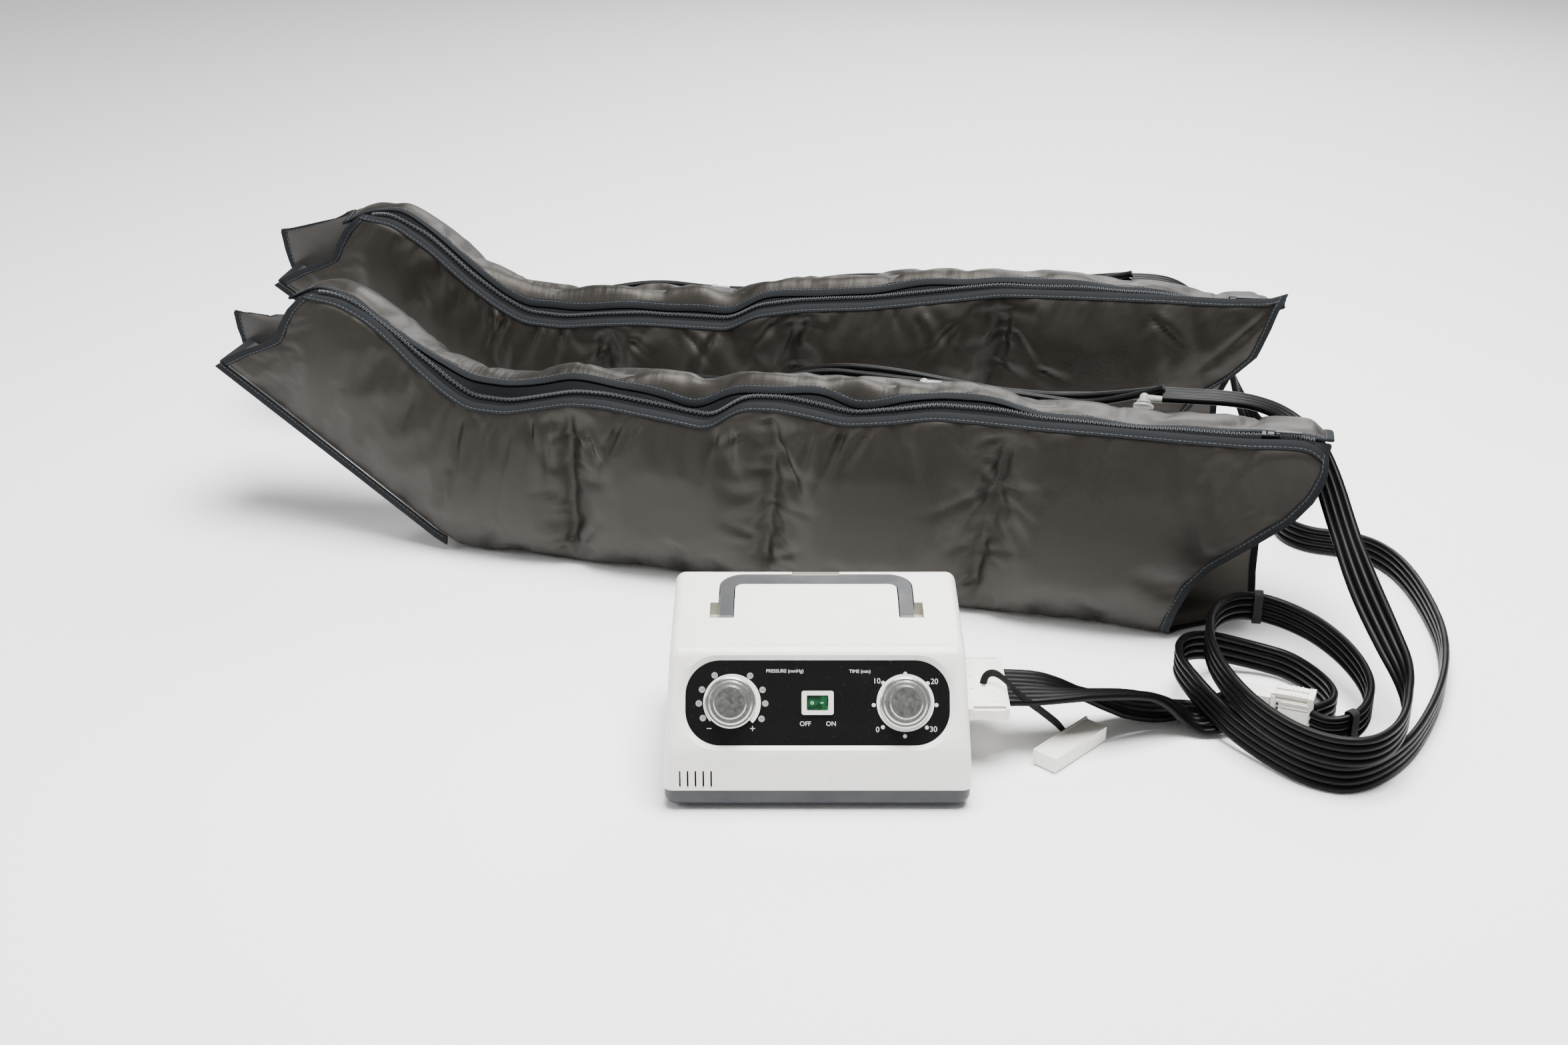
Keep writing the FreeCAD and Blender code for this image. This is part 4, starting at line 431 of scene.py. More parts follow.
def lighter(colour, factor):
    return tuple(min(1.0, c * factor) for c in colour)


def moulded(name, colour, roughness, grain=900.0, depth=0.00005, **sockets):
    """Spark-eroded moulded plastic: fine even grain, faint flow marks, a little edge shine."""
    m = Wiring(name, colour, roughness, **sockets)
    m.tint(m.noise(9, 2), lighter(colour, 0.9), 0.35)
    m.tint(m.span(m.noise(60, 5), 0.0, 1.0, 0.55, 0.75), lighter(colour, 0.82), 0.12)
    m.gloss(m.noise(35, 4), roughness * 0.85, roughness * 1.2)
    m.relief(m.noise(grain, 2), depth)
    m.relief(m.noise(28, 2), 0.0002, 0.25)
    return m


def metal(name, colour, roughness, grain=400.0, **sockets):
    """Bare metal with faint stains and a fine grain."""
    m = Wiring(name, colour, roughness, Metallic=1.0, **sockets)
    m.tint(m.noise(90, 5), lighter(colour, 0.72), 0.5)
    m.gloss(m.noise(grain, 3), roughness * 0.8, roughness * 1.3)
    m.relief(m.noise(grain * 2, 2), 0.00003)
    return m


# ---- the pump -----------------------------------------------------------------------
# places and sizes in the tables are millimetres, unless a comment says metres
PANEL_ORIGIN = Vector((0, -97, 57)) * MM
PANEL_UP = Vector((0, 0.526, 0.8505)).normalized()
PANEL_OUT = Vector((0, -0.8505, 0.526)).normalized()
PANEL_LEAN = 58.27                  # degrees between the panel and the floor
PANEL_FACE = -3.42                  # just proud of the fascia film
FIGURE_LIFT = 0.05                  # a figure above the dot that it lies on
PRESSURE_CENTRE = (-74.5, 43.0)
TIMER_CENTRE = (75.0, 43.0)
TIMER_DOT = 1.7
# value, distance from the knob's middle and angle of each figure of the pressure dial
PRESSURE_FIGURES = ((30, 26.8, -151), (60, 27.0, -179), (90, 26.8, 155), (120, 27.1, 120),
                    (150, 28.6, 54), (180, 29.6, 22), (210, 29.8, -1), (240, 29.9, -27))
# distance and angle of the timer's dots
TIMER_DOTS = ((24.8, 90), (25.5, 138), (25.4, 41), (27.1, -176), (26.6, -4), (28.3, -133),
              (27.8, -49), (28.4, -91))
# text, place across and up the panel, height
PANEL_WORDS = (("10", 50.6, 61.5, 4.9), ("20", 99.9, 61.1, 4.9), ("0", 51.2, 20.1, 4.9),
               ("30", 98.8, 20.4, 4.9), ("OFF", -10.5, 25.1, 4.1), ("ON", 11.5, 25.1, 4.1),
               ("PRESSURE (mmHg)", -28.0, 70.1, 3.0), ("TIME (min)", 36.3, 69.8, 3.0))
# place across and up the panel, width, height: the minus, and the two bars of the plus
SIGN_BARS = ((-92.6, 21.2, 3.9, 0.6), (-55.6, 21.2, 4.2, 0.6), (-55.6, 21.2, 0.6, 4.2))
COVER_SLOPE = math.atan2(7.0, 139.0)            # the cover's top rises 7 mm over 139 mm
COVER_SLOPE_START = -50.0                       # from here, front to back
COVER_TOP = 133.0
WELL_EDGE = 0.6                                 # below the top, where the painted shade starts
WELL_BOTTOM = 118.0
WELL_BACK = 83.5
WELL_HALF_WIDTH = 94.2


def on_panel(x, up, out=PANEL_FACE):
    """Panel millimetres (across, up, out) as metres in the room."""
    return PANEL_ORIGIN + Vector((x * MM, 0, 0)) + PANEL_UP * (up * MM) + PANEL_OUT * (out * MM)


def panel_frame(x, up, out=PANEL_FACE):
    return turned((1, 0, 0), PANEL_UP, PANEL_OUT, on_panel(x, up, out))


def carry_over(node, material, slot, degrees=30.0):
    """A merged, smooth copy of a CAD node stands for it, so that its fillets shade as one surface."""
    source = frame["nodes"][node]
    copy = source.copy()
    copy.data = source.data.copy()
    bpy.context.scene.collection.objects.link(copy)
    copy.parent = None
    for key in [k for k in copy.keys() if k.startswith("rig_")]:
        del copy[key]
    named(copy, node + "_finish")
    copy.hide_render = copy.hide_viewport = False
    pick(copy)
    if copy.data.has_custom_normals:
        bpy.ops.mesh.customdata_custom_splitnormals_clear()
    with editing(copy):
        bpy.ops.mesh.remove_doubles(threshold=CAD_MERGE_DISTANCE)
    smooth(copy, degrees)
    return finish_piece(copy, material, source["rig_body"], slot, node)


def coat(node, material):
    """Gives a hidden CAD node, whose shape stays, its material."""
    data = frame["nodes"][node].data
    data.materials.clear()
    data.materials.append(material)


def disc(x, up, radius, out=PANEL_FACE, hole=0.0):
    """A flat dot on the panel, or a ring where it has a hole."""
    deselect()
    bpy.ops.mesh.primitive_circle_add(vertices=28, radius=radius * MM, fill_type="NGON")
    piece = bpy.context.object
    if hole:
        with editing(piece):
            bpy.ops.mesh.inset(thickness=(radius - hole) * MM)
            bpy.ops.mesh.delete(type="FACE")
    piece.matrix_world = panel_frame(x, up, out)
    return set_down(piece)


def word(text, x, up, size, out=PANEL_FACE):
    """Flat lettering on the panel, as a mesh."""
    deselect()
    bpy.ops.object.text_add()
    piece = bpy.context.object
    piece.data.body = text
    piece.data.size = size * 1.35 * MM
    piece.data.align_x = "CENTER"
    piece.data.align_y = "CENTER"
    piece.data.resolution_u = 4
    bpy.ops.object.convert(target="MESH")
    piece = bpy.context.object
    piece.matrix_world = panel_frame(x, up, out)
    return set_down(piece)


def bar(x, up, wide, tall, out=PANEL_FACE):
    """A flat bar on the panel."""
    deselect()
    bpy.ops.mesh.primitive_plane_add(size=1.0)
    piece = bpy.context.object
    piece.matrix_world = panel_frame(x, up, out) @ Matrix.Diagonal((wide * MM, tall * MM, 1, 1))
    return set_down(piece)


def round_place(centre, radius, angle):
    """A place on the panel, at this distance and angle from a knob's middle."""
    return (centre[0] + radius * math.cos(math.radians(angle)),
            centre[1] + radius * math.sin(math.radians(angle)))


class LEGPUMP_OT_housing(bpy.types.Operator):
    """Finish the cover, tray, handle, feet and screws"""
    bl_idname = "legpump.housing"
    bl_label = "Pump housing"

    def in_well(self, m):
        """Painted shade on the cover: 1 in the handle's well, its pockets and the finger scoop, 0 on the rest
        of the cover.
        """
        place = m.node("ShaderNodeSeparateXYZ", {"Vector": m.object_place}).outputs
        behind = m.maths("SUBTRACT", place["Y"], COVER_SLOPE_START * MM)
        height = m.maths("SUBTRACT", m.maths("MULTIPLY", place["Z"], math.cos(COVER_SLOPE)),
                         m.maths("MULTIPLY", behind, math.sin(COVER_SLOPE)))
        below_top = m.maths("LESS_THAN", height, (COVER_TOP * math.cos(COVER_SLOPE) - WELL_EDGE) * MM)
        above_bottom = m.maths("GREATER_THAN", height, WELL_BOTTOM * MM)
        across = m.maths("LESS_THAN", m.maths("ABSOLUTE", place["X"]), WELL_HALF_WIDTH * MM)
        back_half = m.maths("MULTIPLY", m.maths("GREATER_THAN", place["Y"], 0.0),
                            m.maths("LESS_THAN", place["Y"], WELL_BACK * MM))
        return m.maths("MULTIPLY", m.maths("MULTIPLY", below_top, across),
                       m.maths("MULTIPLY", back_half, above_bottom))

    def execute(self, context):
        looks = context.scene.legpump_pump
        cover = moulded("ivory_cover", looks.cover, 0.34, 1100.0, 0.00004, Coat_Weight=0.12)
        cover.tint(cover.span(cover.noise(220, 2), 0.0, 1.0, 0.66, 0.72), tone(176, 168, 150), 0.18)
        cover.edge_wear(tone(205, 200, 188), 0.3)
        # painted shade in the handle's well, its pockets and the finger scoop
        cover.tint(self.in_well(cover), tone(172, 168, 148), 0.7)
        tray = moulded("grey_tray", looks.tray, 0.5, 800.0, 0.00008)
        tray.edge_wear(tone(150, 152, 152), 0.4)
        grip = moulded("grey_handle", lighter(looks.tray, 0.72), 0.45, 800.0, 0.00008)
        grip.edge_wear(tone(150, 152, 152), 0.4)
        rubber = moulded("foot_rubber", tone(28, 28, 29), 0.8, 500.0, 0.0001)
        screw = metal("screw_steel", tone(150, 150, 148), 0.35)
        carry_over("upper_cover", cover.material, "ivory_plastic", 34)
        carry_over("base_tray", tray.material, "grey_plastic")
        carry_over("carry_handle", grip.material, "grey_plastic", 40)
        carry_over("rubber_feet", rubber.material, "rubber_black")
        carry_over("cover_screws", screw.material, "steel")
        carry_over("handle_pins", screw.material, "steel")
        carry_over("mains_inlet", moulded("inlet_black", tone(30, 30, 32), 0.42).material, "rubber_black")
        return {"FINISHED"}


def fascia_film(looks):
    """Glossy film with faint dust and a slow ripple."""
    film = Wiring("gloss_fascia", looks.fascia, 0.2, Specular_IOR_Level=0.3)
    film.tint(film.span(film.noise(420, 6), 0.0, 1.0, 0.62, 0.72), tone(44, 44, 46), 0.35)
    film.gloss(film.noise(45, 6), 0.12, 0.26)
    film.relief(film.noise(22, 2), 0.0001, 0.2)
    return film.material


def turned_metal(name, looks, centre):
    """Knob metal with fine rings turned round the knob's own axis."""
    m = metal(name, looks.knob, 0.22, 300.0)
    place = m.node("ShaderNodeMapping", {"Vector": m.object_place},
                   {"Location": -on_panel(*centre, 0)}).outputs["Vector"]
    tipped = m.node("ShaderNodeVectorRotate", {"Vector": place}, {"Angle": math.radians(PANEL_LEAN)},
                    rotation_type="X_AXIS", invert=True).outputs["Vector"]
    rings = m.node("ShaderNodeTexWave", {"Vector": tipped},
                   {"Scale": 900.0, "Distortion": 0.6, "Detail": 2.0},
                   wave_type="RINGS", rings_direction="Z").outputs["Fac"]
    m.relief(rings, 0.000025, 0.6)
    return m.material


def tinted_rocker(looks):
    """Dark green plastic that lets a little light in, with a mottled grain."""
    m = Wiring("tinted_rocker", looks.rocker, 0.14, Transmission_Weight=0.2, IOR=1.49, Coat_Weight=0.4)
    m.tint(m.span(m.noise(160, 2), 0.0, 1.0, 0.45, 0.6), tone(8, 96, 50), 0.5)
    m.relief(m.noise(240, 1), 0.0002, 0.4)
    return m.material


def ink(name, colour, roughness, worn, amount, grain=900, detail=3.0):
    """Printing ink, mottled towards a worn colour."""
    m = Wiring(name, colour, roughness)
    m.tint(m.noise(grain, detail), worn, amount)
    return m.material


class LEGPUMP_OT_controls(bpy.types.Operator):
    """Finish the fascia, dials, knobs and switch, and print the dial figures"""
    bl_idname = "legpump.controls"
    bl_label = "Control panel"

    def execute(self, context):
        looks = context.scene.legpump_pump
        carry_over("control_fascia", fascia_film(looks), "black_gloss")
        carry_over("dial_rings", moulded("dial_white", tone(226, 226, 222), 0.3).material, "dial_white")
        self.knobs(looks)
        self.switch(looks)
        self.print_panel(looks)
        return {"FINISHED"}

    def knobs(self, looks):
        for side, centre in (("pressure", PRESSURE_CENTRE), ("timer", TIMER_CENTRE)):
            skirt = turned_metal(side + "_knob_metal", looks, centre)
            carry_over(side + "_knob", skirt, "knob_silver", 26)
            cap = metal(side + "_cap_metal", lighter(looks.knob, 0.42), 0.36, 260.0)
            carry_over(side + "_knob_cap", cap.material, "knob_silver", 26)
            coat(side + "_spindle", metal(side + "_spindle_steel", tone(150, 150, 150), 0.3).material)

    def switch(self, looks):
        bezel = moulded("switch_bezel", tone(214, 212, 202), 0.3)
        carry_over("switch_housing", bezel.material, "dial_white")
        self.rocker_marks(carry_over("switch_rocker", tinted_rocker(looks), "green_plastic"))

    def rocker_marks(self, key):
        """A ring and a bar on the two slopes of the rocker, laid on the face under each."""
        points = [vertex.co - PANEL_ORIGIN for vertex in key.data.vertices]
        across = [point.x / MM for point in points]
        up = [point.dot(PANEL_UP) / MM for point in points]
        middle, level = (min(across) + max(across)) / 2, (min(up) + max(up)) / 2
        quarter = (max(across) - min(across)) / 4
        white = ink("rocker_ink", tone(214, 220, 214), 0.4, tone(180, 190, 182), 0.4)
        ring, dash = disc(0, 0, 1.35, 0, 0.85), bar(0, 0, 2.8, 0.55, 0)
        marks = []
        for mark, x in ((ring, middle - quarter), (dash, middle + quarter)):
            _, place, normal, _ = key.ray_cast(on_panel(x, level, 30), -PANEL_OUT)
            side = Vector((1, 0, 0)) - normal * normal.x
            side.normalize()
            lie = turned(side, normal.cross(side), normal, place + normal * (0.12 * MM))
            mark.matrix_world = lie @ panel_frame(0, 0, 0).inverted()
            marks.append(set_down(mark))
        finish_piece(join(marks, "rocker_marks"), white, "switch_rocker", "dial_white")

    def print_panel(self, looks):
        colour = looks.print_ink
        white = ink("dial_ink", colour, 0.45, lighter(colour, 0.75), 0.5, 900, 4)
        dark = ink("dial_figure", tone(30, 30, 32), 0.5, tone(60, 60, 62), 0.4, 900, 2)
        grey = ink("dial_dot_grey", lighter(colour, 0.42), 0.5, lighter(colour, 0.6), 0.4, 700)
        dots, figures = [], []
        for value, radius, angle in PRESSURE_FIGURES:
            x, up = round_place(PRESSURE_CENTRE, radius, angle)
            size = looks.letter_height / MM * (0.72 if value > 99 else 0.95)
            dots.append(disc(x, up, looks.dot_radius / MM))
            figures.append(word(str(value), x, up, size, PANEL_FACE + FIGURE_LIFT))
        pale = [disc(*round_place(TIMER_CENTRE, radius, angle), TIMER_DOT) for radius, angle in TIMER_DOTS]
        pale += [word(*lettering) for lettering in PANEL_WORDS]
        pale += [bar(*sign) for sign in SIGN_BARS]
        finish_piece(join(pale, "dial_print"), white, ROOT, "dial_white")
        finish_piece(join(dots, "dial_dots"), grey, ROOT, "dial_white")
        finish_piece(join(figures, "dial_figures"), dark, ROOT, "black_gloss")


class LEGPUMP_OT_inside(bpy.types.Operator):
    """Give the works inside the pump their metals, plastics and rubber"""
    bl_idname = "legpump.inside"
    bl_label = "Works inside"

    def execute(self, context):
        steel = metal("works_steel", tone(150, 152, 154), 0.34).material
        stack = metal("works_laminations", tone(96, 98, 100), 0.45, 900.0).material
        copper = metal("works_copper", tone(190, 110, 66), 0.3, 700.0).material
        alloy = metal("works_alloy", tone(176, 178, 178), 0.42).material
        board = moulded("works_board", tone(26, 92, 58), 0.42, 300.0, 0.0001).material
        rubber = moulded("works_rubber", tone(34, 34, 35), 0.75, 500.0, 0.0001).material
        white = moulded("works_white", tone(218, 218, 214), 0.4).material
        for node, material in (("pressure_valve", alloy), ("timer_mechanism", steel),
                               ("circuit_board", board), ("compressor_frame", stack),
                               ("compressor_coils", copper), ("compressor_armature", stack),
                               ("compressor_heads", alloy), ("isolator_mounts", rubber),
                               ("distributor_body", white), ("distributor_rotor", white),
                               ("distributor_motor", steel), ("air_feed_hose", rubber),
                               ("manifold_hoses", rubber)):
            coat(node, material)
        return {"FINISHED"}


# ---- ribbon hoses ------------------------------------------------------------------------
PUMP_HOSE_REAR = [(170, 28.8, 57), (196, 28.8, 56.5), (219, 30, 50), (241, 34, 38.5), (264, 41, 26),
                  (288, 48, 15), (314, 53, 9), (336, 60, 7), (354, 56, 7), (368, 45, 15),
                  (385.1, 36.6, 25)]
PUMP_HOSE_FRONT = [(170, -0.8, 57), (196, -0.8, 57), (225, 3, 55.5), (255, 11, 51.5), (282, 20, 46.5),
                   (304, 27, 39.5), (322, 32, 28), (337, 35, 14), (351, 32, 7.5), (364, 29, 15),
                   (381.4, 27, 25)]
CAP_STRAP = [(149.6, 11, 62.6), (150.2, 11.6, 68), (154, 12, 73), (160.5, 8, 75.3), (168, -2, 73.5),
             (176, -11, 68), (187, -15, 59.5), (199, -9.5, 47.5), (211, -0.5, 33), (220, 7, 21),
             (225, 12, 12)]
NEAR_HOSE = [(346.4, 309.1, 218.3), (374, 301.8, 219.5), (405, 296.5, 220), (437, 294, 216),
             (466, 287, 205), (487, 262, 187), (496, 222, 164), (502, 176, 136), (512, 122, 103),
             (524, 69, 77), (533, 30, 60), (526, -12, 50), (507, -53, 47), (478, -77, 45), (444, -73, 44),
             (412, -50, 46), (386, -18, 52), (368, 18, 61), (360, 56, 68), (367, 105, 68), (385, 147, 63),
             (415, 172, 57), (445, 168, 52), (475, 141, 49), (495, 101, 46), (505, 60, 42), (504, 28, 38),
             (492, 0, 33), (472, -13, 28), (453, -9, 25), (444.9, 2.6, 25)]
FAR_HOSE = [(364.6, 648.2, 218.3), (391, 643.8, 219.5), (419, 645, 212), (443, 649, 194.5),
            (461, 652, 170), (474, 653, 142), (486, 653, 110), (498, 652, 78), (513, 648, 49),
            (532, 636, 27), (552, 610, 16.5), (562, 574, 15), (557, 536, 15), (538, 501, 15),
            (513, 467, 15), (506, 441, 15), (513, 415, 15), (532, 396, 15), (558, 389, 15),
            (587, 376, 15.2), (606, 346, 15), (615, 300, 15.2), (617, 240, 15), (613, 176, 15.2),
            (597, 110, 15), (568, 42, 15.2), (524, -31, 15), (471, -75, 15), (431, -64, 15.5),
            (396, -22, 17), (365, 20, 26), (345, 56, 37), (336, 88, 42), (347, 118, 40), (372, 138, 32),
            (400, 141, 24), (427, 137, 18.5), (452, 124, 17), (470, 93, 17), (478, 55, 20),
            (470, 28, 23), (458, 17, 25), (448.6, 12.2, 25)]
# how a ribbon turns: (share of its length, degrees), 0 level and 90 on edge
FRONT_TWIST = ((0, 0), (0.1, 0), (0.3, -18), (0.58, -22), (0.72, 0), (0.84, 0), (0.98, 90), (1, 90))
REAR_TWIST = ((0, 0), (0.12, 0), (0.32, -8), (0.5, 14), (0.64, 14), (0.76, 0), (0.84, 0), (0.98, 90),
              (1, 90))
NEAR_TWIST = ((0, 0), (0.24, 0), (0.40, 90), (1, 90))
FAR_TWIST = ((0, 0), (0.12, 0), (0.30, 90), (1, 90))
# name, route, twist, the CAD nodes that it replaces, its lay and the pieces that it carries
RIBBONS = (
    ("near_ribbon", NEAR_HOSE, NEAR_TWIST, ("near_hose_drop", "near_hose_coil"), "coiled",
     ("near_coupler_plug_finish", "hose_tie_bands")),
    ("far_ribbon", FAR_HOSE, FAR_TWIST, ("far_hose_run", "far_hose_coil"), "coiled",
     ("far_coupler_plug_finish",)),
    ("pump_ribbon_rear", PUMP_HOSE_REAR, REAR_TWIST, ("pump_hose_rear",), "loose",
     ("far_coupler_socket_finish",)),
    ("pump_ribbon_front", PUMP_HOSE_FRONT, FRONT_TWIST, ("pump_hose_front",), "loose",
     ("near_coupler_socket_finish",)))
TWIST_EASE = 6                      # points each way over which a ribbon's level direction is eased
BRANCH_SPACING = 5.0                # along a branch hose's mesh
STRAP_SPACING = 1.5                 # along the cap cord's mesh
STRAP_HALF_WIDTH = 3.3
STRAP_HALF_THICKNESS = 0.9
STRAP_TWIST = ((0, 60), (0.3, 90), (0.8, 95), (1, 70))


def ribbon_profile(pitch, radius, tubes=4, steps=5):
    """Outline of flat joined tubes: (across, through) pairs, once round."""
    meet = math.degrees(math.acos(min(0.999, pitch / 2 / radius)))
    upper = []
    for tube in range(tubes):
        middle = (tube - (tubes - 1) / 2) * pitch
        first = 180.0 if tube == 0 else 180.0 - meet
        last = 0.0 if tube == tubes - 1 else meet
        for step in range(steps):
            angle = math.radians(first + (last - first) * step / (steps - 1))
            upper.append((middle + radius * math.cos(angle), radius * math.sin(angle)))
    kept = [upper[0]]
    for place in upper[1:]:
        if abs(place[0] - kept[-1][0]) + abs(place[1] - kept[-1][1]) > radius * 0.05:
            kept.append(place)
    return kept + [(a, -b) for a, b in reversed(kept[1:-1])]


def directions(line):
    return unit(np.gradient(line, axis=0))


def swept(name, line, profile, upright):
    """A tube along a line. upright lists (share of the length, degrees): 0 lays the profile's width
    level, 90 stands it on edge."""
    line = np.asarray(line)
    along = directions(line)
    level = unit(np.cross((0.0, 0.0, 1.0), along))
    for index in range(1, len(level)):
        if level[index] @ level[index - 1] < 0:
            level[index] = -level[index]
    window = 2 * TWIST_EASE + 1
    level = unit(np.stack([np.convolve(np.pad(level[:, k], TWIST_EASE, "edge"), np.ones(window) / window,
                                       "valid") for k in range(3)], axis=1))
    level = unit(level - along * (level * along).sum(1, keepdims=True))
    up = np.cross(along, level)
    share = np.linspace(0, 1, len(line))
    turn = np.radians(np.interp(share, [k[0] for k in upright], [k[1] for k in upright]))[:, None]
    wide = level * np.cos(turn) + up * np.sin(turn)
    thick = np.cross(along, wide)
    places = [[line[i] + wide[i] * a + thick[i] * b for a, b in profile] for i in range(len(line))]
    return weave_grid(name, places, closed=True, caps=True)


def circle_profile(radius, sides):
    return [(radius * math.cos(2 * math.pi * k / sides), radius * math.sin(2 * math.pi * k / sides))
            for k in range(sides)]


def hose_rubber(looks):
    """Matt black tubing with pale scuffs."""
    m = Wiring("hose_rubber", looks.rubber, 0.38, Specular_IOR_Level=0.11)
    m.tint(m.noise(14, 3), lighter(looks.rubber, 1.3), 0.5)
    m.tint(m.span(m.noise(160, 6), 0.0, 1.0, 0.52, 0.7), lighter(looks.rubber, 1.8), 0.2)
    m.gloss(m.noise(40, 5), 0.34, 0.48)
    m.relief(m.noise(420, 4), 0.00008, 0.3)
    return m.material


class LEGPUMP_OT_hoses(bpy.types.Operator):
    """Sweep the four-way ribbons from the plug to the couplers and on to both sleeves"""
    bl_idname = "legpump.hoses"
    bl_label = "Ribbon hoses"

    def execute(self, context):
        looks = context.scene.legpump_hose
        rubber = hose_rubber(looks)
        profile = ribbon_profile(looks.tube_pitch, looks.tube_radius)
        for name, controls, twist, nodes, lay, carried in RIBBONS:
            line = route_line(name, controls, looks.ring_spacing)
            piece = smooth(swept(name, line, profile, twist), 70)
            finish_piece(piece, rubber, ROOT, "hose_black", *nodes)
        return {"FINISHED"}


# ---- where the sleeves stand ----------------------------------------------------------
# the zero of each sleeve's own millimetres on the floor, and how far it is turned
SLEEVES = {"near": ((-397.0, 390.0), -15.0), "far": ((-383.0, 664.0), -10.0)}
SLEEVE_FLOOR = 0.5
# (along, up) of the CAD sleeve's top
TOP_LINE = ((-120, 290), (45, 182), (160, 204), (300, 196), (390, 222), (905, 240))
NOZZLE_PLACES = (60.0, 258.0, 499.0, 721.0)
NOZZLE_DEPTH = 104.0
NOZZLE_DROP = 27.2
NOZZLE_RISE = 10.0                  # from the fabric to the middle of the barb
BARB_REACH = 18.0
BACK_SLOPE = np.array((0.0, 34.0, 40.0)) / math.hypot(34.0, 40.0)
BRANCH_START = 32.0                 # straight run from a barb
BRANCH_STEP = 70.0                  # from one point of a branch hose's route to the next
BRANCH_WAVER = 2.5
BRANCH_PITCH = 8.0                  # from one branch hose to the one behind it
BRANCH_RADIUS = 3.8
BACK_DEPTH = 112.0                  # the back panel, from the front of the sleeve
BACK_GAP = 9.0                      # from the back panel to the first branch hose
# how far each branch hose sinks below the line of the barbs, by its place along the leg
SAG = {
    "near": ((60, 0), (150, 9), (258, 2), (380, 0), (499, 2), (590, 14), (680, 14), (725, 0)),
    "far": ((60, 4), (150, 14), (258, 8), (380, 14), (499, 8), (600, 8), (680, 6), (725, 0)),
}
# where each branch hose meets the start of the ribbon, in hose radii back and up
BRANCH_MEETS = ((1, -1), (1.6, 1), (-0.2, 1.9))


def in_room(side, places):
    """Sleeve millimetres (along the leg, from front to back, up) as metres in the room."""
    (x, y), yaw = SLEEVES[side]
    places = np.asarray(places, float)
    c, s = math.cos(math.radians(yaw)), math.sin(math.radians(yaw))
    out = np.empty_like(places)
    out[..., 0] = x + places[..., 0] * c - places[..., 1] * s
    out[..., 1] = y + places[..., 0] * s + places[..., 1] * c
    out[..., 2] = SLEEVE_FLOOR + places[..., 2]
    return out * MM


def in_sleeve(side, points):
    """Room metres as sleeve millimetres."""
    (x, y), yaw = SLEEVES[side]
    c, s = math.cos(math.radians(yaw)), math.sin(math.radians(yaw))
    dx, dy = points[:, 0] / MM - x, points[:, 1] / MM - y
    return np.stack([dx * c + dy * s, dy * c - dx * s, points[:, 2] / MM - SLEEVE_FLOOR], axis=1)


def top_height(s):
    """Height of the CAD sleeve's top at this place along the leg."""
    return float(np.interp(s, [p[0] for p in TOP_LINE], [p[1] for p in TOP_LINE]))


def nozzle_foot(place):
    """Where the nozzle at this place along the leg leaves the fabric."""
    return np.array((place, NOZZLE_DEPTH, top_height(place) - NOZZLE_DROP))


def barb_end(place):
    """Where a branch hose is pushed on to that nozzle."""
    return nozzle_foot(place) + BACK_SLOPE * NOZZLE_RISE + (BARB_REACH, 0, 0)


def branch_route(side, index):
    """A single hose from one nozzle's barb along the back panel to the start of the ribbon."""
    barb = barb_end(NOZZLE_PLACES[index])
    lift = barb[2] - top_height(NOZZLE_PLACES[index])
    depth = BACK_DEPTH + BACK_GAP + (2 - index) * BRANCH_PITCH
    start = barb[0] + BRANCH_START
    last_barb = barb_end(NOZZLE_PLACES[3])
    end = last_barb + (0, BRANCH_RADIUS, BRANCH_RADIUS)
    count = max(2, round((end[0] - start) / BRANCH_STEP))
    points = [barb, barb + (BRANCH_START, 0, 0)]
    for i in range(1, count):
        along = start + (end[0] - start) * i / count
        sag = float(np.interp(along, *zip(*SAG[side])))
        points.append((along, depth, top_height(along) + lift + BRANCH_WAVER * (-1) ** (i // 2) - sag))
    back, up = BRANCH_MEETS[index]
    points.append(last_barb + (0, BRANCH_RADIUS * (1 + back), BRANCH_RADIUS * (1 + up)))
    return in_room(side, np.array(points)) / MM


class LEGPUMP_OT_branches(bpy.types.Operator):
    """Lay the single hoses from the nozzles along the back of each sleeve"""
    bl_idname = "legpump.branches"
    bl_label = "Branch hoses"

    def execute(self, context):
        looks = context.scene.legpump_hose
        rubber = bpy.data.materials["hose_rubber"]
        profile = circle_profile(looks.tube_radius, 12)
        for side in SLEEVES:
            for index in range(3):
                name = "%s_branch_%d" % (side, index + 1)
                line = route_line(name, branch_route(side, index).tolist(), BRANCH_SPACING * MM)
                piece = smooth(swept(name, line, profile, ((0, 0), (1, 0))), 60)
                finish_piece(piece, rubber, ROOT, "hose_black", side + "_branch_hoses")
        return {"FINISHED"}


# ---- plug, couplers and ties ------------------------------------------------------------
COUPLER_PLACE = (381.4, 27.0)       # on the floor, where the near coupler meets its pump hose
COUPLER_TURN = -21.0
COUPLER_FACES = (("near", 0.0), ("far", 20.3))  # how far behind that line each front face lies
PLUG_FACE = (151, 14, 62.5)         # middle of the plug's top
